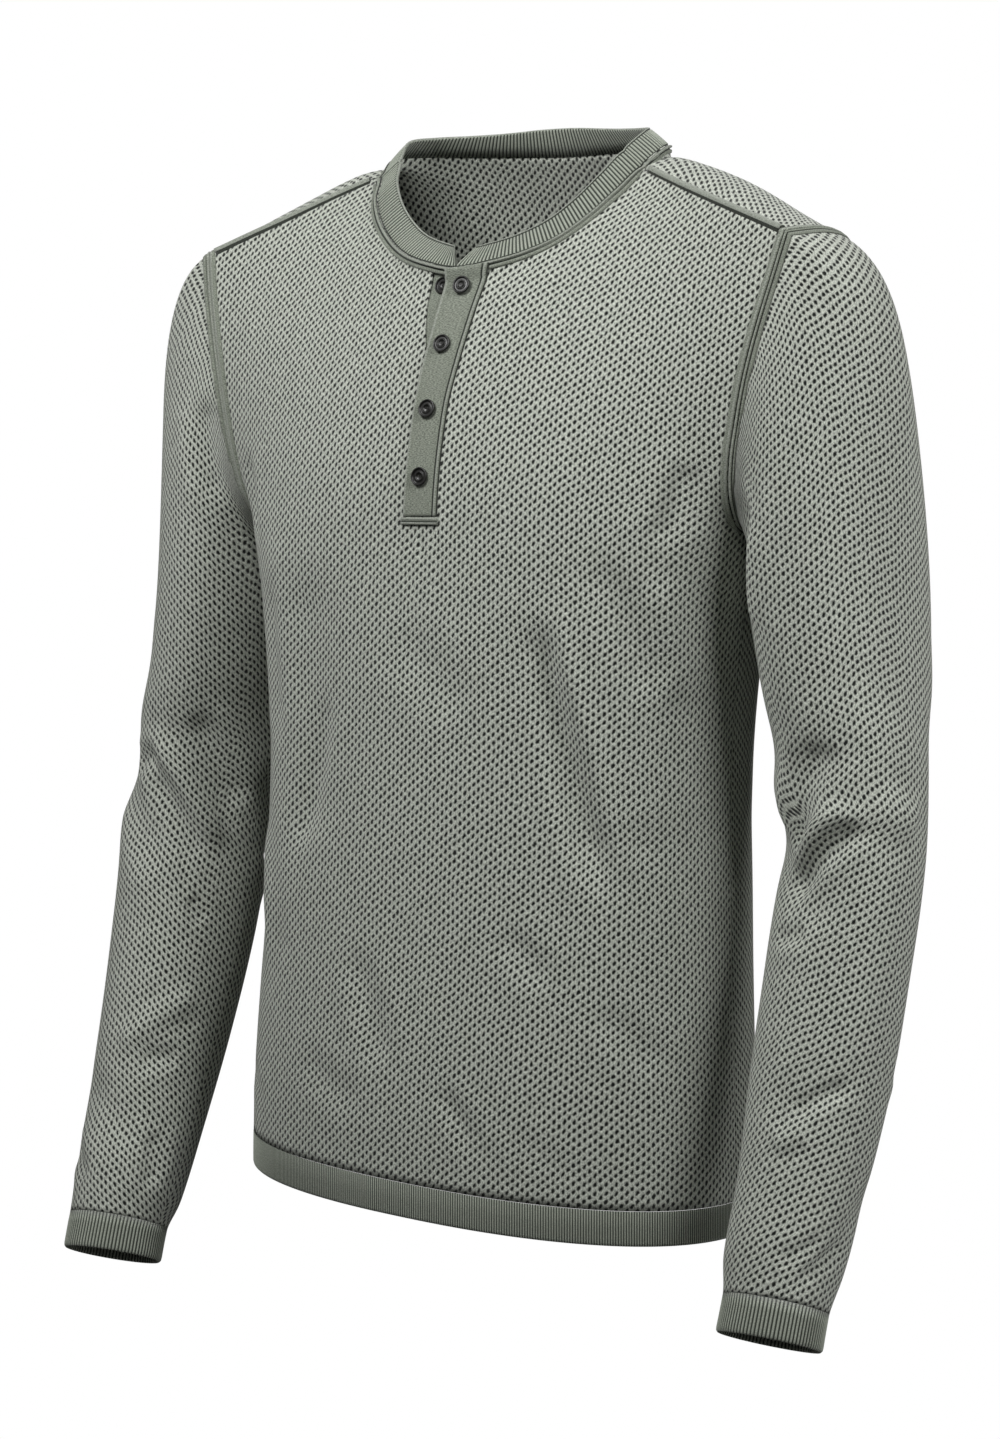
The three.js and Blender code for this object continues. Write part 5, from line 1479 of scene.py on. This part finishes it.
@dataclass
class Button:
    """A turned button with a raised rim, a dished face and two thread holes."""

    name: str
    steps: int = 40

    @staticmethod
    def holes(bm: bmesh.types.BMesh, seat: Vector, turn: Matrix) -> None:
        """Adds the thread that shows in the button's two holes."""
        for side in (-0.75, 0.75):
            made = bmesh.ops.create_uvsphere(bm, u_segments=12, v_segments=6, radius=0.52 * MM)
            verts = made["verts"]
            bmesh.ops.scale(bm, vec=(1, 1, 0.5), verts=verts)
            bmesh.ops.translate(bm, vec=(side * MM, 0, 0.95 * MM), verts=verts)
            bmesh.ops.transform(bm, matrix=turn, verts=verts)
            bmesh.ops.translate(bm, vec=seat, verts=verts)

    def build(self, materials: list[bpy.types.Material]) -> None:
        """Builds the button where its solid lies."""
        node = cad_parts[self.name]
        points = np.array([v.co[:] for v in node.data.vertices])
        centre = points.mean(axis=0)
        _, _, axes = np.linalg.svd(points - centre)
        out = axes[2] * np.sign(-axes[2][1])
        lowest = ((points - centre) @ out).min()
        seat = centre + out * lowest
        profile = [(0, 0), (4.6, 0), (5.4, 0.3), (5.7, 0.8), (5.75, 1.5), (5.6, 1.85),
                   (5.3, 2.0), (5.0, 2.0), (4.75, 1.8), (4.6, 1.3), (4.45, 1.05), (4.2, 1.0),
                   (3.2, 1.0), (3.0, 1.08), (2.85, 1.4), (2.6, 1.5), (2.35, 1.4), (2.2, 1.0),
                   (2.0, 0.8), (0, 0.78)]
        bm = bmesh.new()
        verts = [bm.verts.new((x * MM, 0, z * MM)) for x, z in profile]
        edges = [bm.edges.new(pair) for pair in zip(verts, verts[1:])]
        bmesh.ops.spin(bm, geom=verts + edges, cent=(0, 0, 0), axis=(0, 0, 1), use_merge=True,
                       angle=2 * math.pi, steps=self.steps)
        bmesh.ops.remove_doubles(bm, verts=bm.verts[:], dist=1e-6)
        bmesh.ops.recalc_face_normals(bm, faces=bm.faces[:])
        for face in bm.faces:
            face.smooth = True
        turn = Vector((0, 0, 1)).rotation_difference(Vector(out)).to_matrix().to_4x4()
        bmesh.ops.transform(bm, matrix=turn, verts=bm.verts[:])
        bmesh.ops.translate(bm, vec=Vector(seat), verts=bm.verts[:])
        self.holes(bm, Vector(seat), turn)
        obj = finished(f"{self.name}_horn", bm)
        dress(obj, materials, "button", self.name)


@dataclass(frozen=True)
class Lamp:
    """A soft square light that faces the shirt's middle."""

    name: str
    azimuth: float
    elevation: float
    distance: float
    size: float
    power: float


LAMPS = [
    Lamp("key", -10, 44, 1.6, 0.6, 20),
    Lamp("left_front", 72, 32, 2.0, 0.7, 16),
    Lamp("left_side", 108, 15, 2.0, 0.8, 10),
    Lamp("right_side", -60, 20, 2.0, 0.8, 2),
    Lamp("behind", 200, 30, 2.4, 1.0, 10),
]


@dataclass(frozen=True)
class Studio:
    """Pale floor, soft light and the camera."""

    azimuth: float = 33.0
    distance: float = 2.62
    height: float = -0.185
    focal_px: float = 4195.0
    long_px: float = 1439.0
    centre_x: float = 511.0
    horizon_y: float = 442.0
    floor_z: float = -1.5
    middle_z: float = -0.3
    world: float = 0.002

    def build(self) -> None:
        """Builds the floor, the lights, the world and the camera."""
        bm = bmesh.new()
        bmesh.ops.create_grid(bm, x_segments=1, y_segments=1, size=1.7)
        bmesh.ops.translate(bm, vec=(0, 0, self.floor_z), verts=bm.verts[:])
        floor = finished("floor", bm)
        paint = Paint("pale_floor")
        floor.data.materials.append(paint.finish((0.3, 0.3, 0.3, 1), 0.9))
        for lamp in LAMPS:
            self.light(lamp)
        self.surroundings()
        self.camera()

    def surroundings(self) -> None:
        """Adds a white background and a weak even light."""
        world = bpy.data.worlds.new("studio")
        bpy.context.scene.world = world
        world.use_nodes = True
        tree = world.node_tree
        tree.nodes.clear()
        path = tree.nodes.new("ShaderNodeLightPath")
        soft, clear = (tree.nodes.new("ShaderNodeBackground") for _ in range(2))
        soft.inputs["Strength"].default_value = self.world
        for node in (soft, clear):
            node.inputs["Color"].default_value = (1, 1, 1, 1)
        pick = tree.nodes.new("ShaderNodeMixShader")
        tree.links.new(path.outputs["Is Camera Ray"], pick.inputs[0])
        tree.links.new(soft.outputs[0], pick.inputs[1])
        tree.links.new(clear.outputs[0], pick.inputs[2])
        out = tree.nodes.new("ShaderNodeOutputWorld")
        tree.links.new(pick.outputs[0], out.inputs["Surface"])
        bpy.context.scene.view_settings.view_transform = "Standard"

    def light(self, lamp: Lamp) -> None:
        """Adds a light at its azimuth, in degrees from the front towards the left, and height."""
        data = bpy.data.lights.new(lamp.name, "AREA")
        data.size, data.energy = lamp.size, lamp.power
        obj = bpy.data.objects.new(lamp.name, data)
        a, e = math.radians(lamp.azimuth), math.radians(lamp.elevation)
        flat = lamp.distance * math.cos(e)
        middle = Vector((0, 0, self.middle_z))
        obj.location = middle + Vector((math.sin(a) * flat, -math.cos(a) * flat,
                                        lamp.distance * math.sin(e)))
        obj.rotation_euler = (middle - obj.location).to_track_quat("-Z", "Y").to_euler()
        bpy.context.scene.collection.objects.link(obj)

    def camera(self) -> None:
        """Adds the camera at the shirt's angle."""
        data = bpy.data.cameras.new("camera")
        data.sensor_width = 36
        data.lens = self.focal_px / self.long_px * 36
        data.shift_x = (500 - self.centre_x) / self.long_px
        data.shift_y = (self.horizon_y - self.long_px / 2) / self.long_px
        data.clip_end = 60
        camera = bpy.data.objects.new("camera", data)
        a = math.radians(self.azimuth)
        camera.location = (math.sin(a) * self.distance, -math.cos(a) * self.distance, self.height)
        camera.rotation_euler = (math.pi / 2, 0, a)
        bpy.context.scene.collection.objects.link(camera)
        bpy.context.scene.camera = camera


def main() -> None:
    """Builds the shirt and its studio in order."""
    logging.basicConfig(level=logging.INFO, format="%(name)s %(message)s")
    form = Form()
    # pale holds the pale raised edges, partly worn and partly painted highlight; dark is painted
    # shade for the bottoms of grooves and under edges
    pale = FineKnit("worn_edge_and_painted_highlight", (0.42, 0.45, 0.39), (0.2, 0.215, 0.18)).material()
    dark = FineKnit("painted_groove_shade", (0.05, 0.057, 0.045), (0.018, 0.021, 0.016)).material()
    finishes = Finishes(EyeletKnit().material(), [FineKnit().material(), pale, dark],
                        [RibKnit().material(), pale, dark], [ButtonHorn().material()])
    sleeves = [ring_closed(form.sleeve(side)) for side in Side]
    panels = Surface([form.front, form.back])
    everything = Surface([form.front, form.back, *sleeves])
    Body(form, finishes).build()
    Sleeves(form, finishes).build()
    HemBand(form, finishes).build()
    NeckBand(form, finishes, panels).build()
    Seams(form, finishes, everything).build()
    Placket(form, finishes, Surface([form.front])).build()
    Studio().build()


if __name__ == "__main__":
    main()
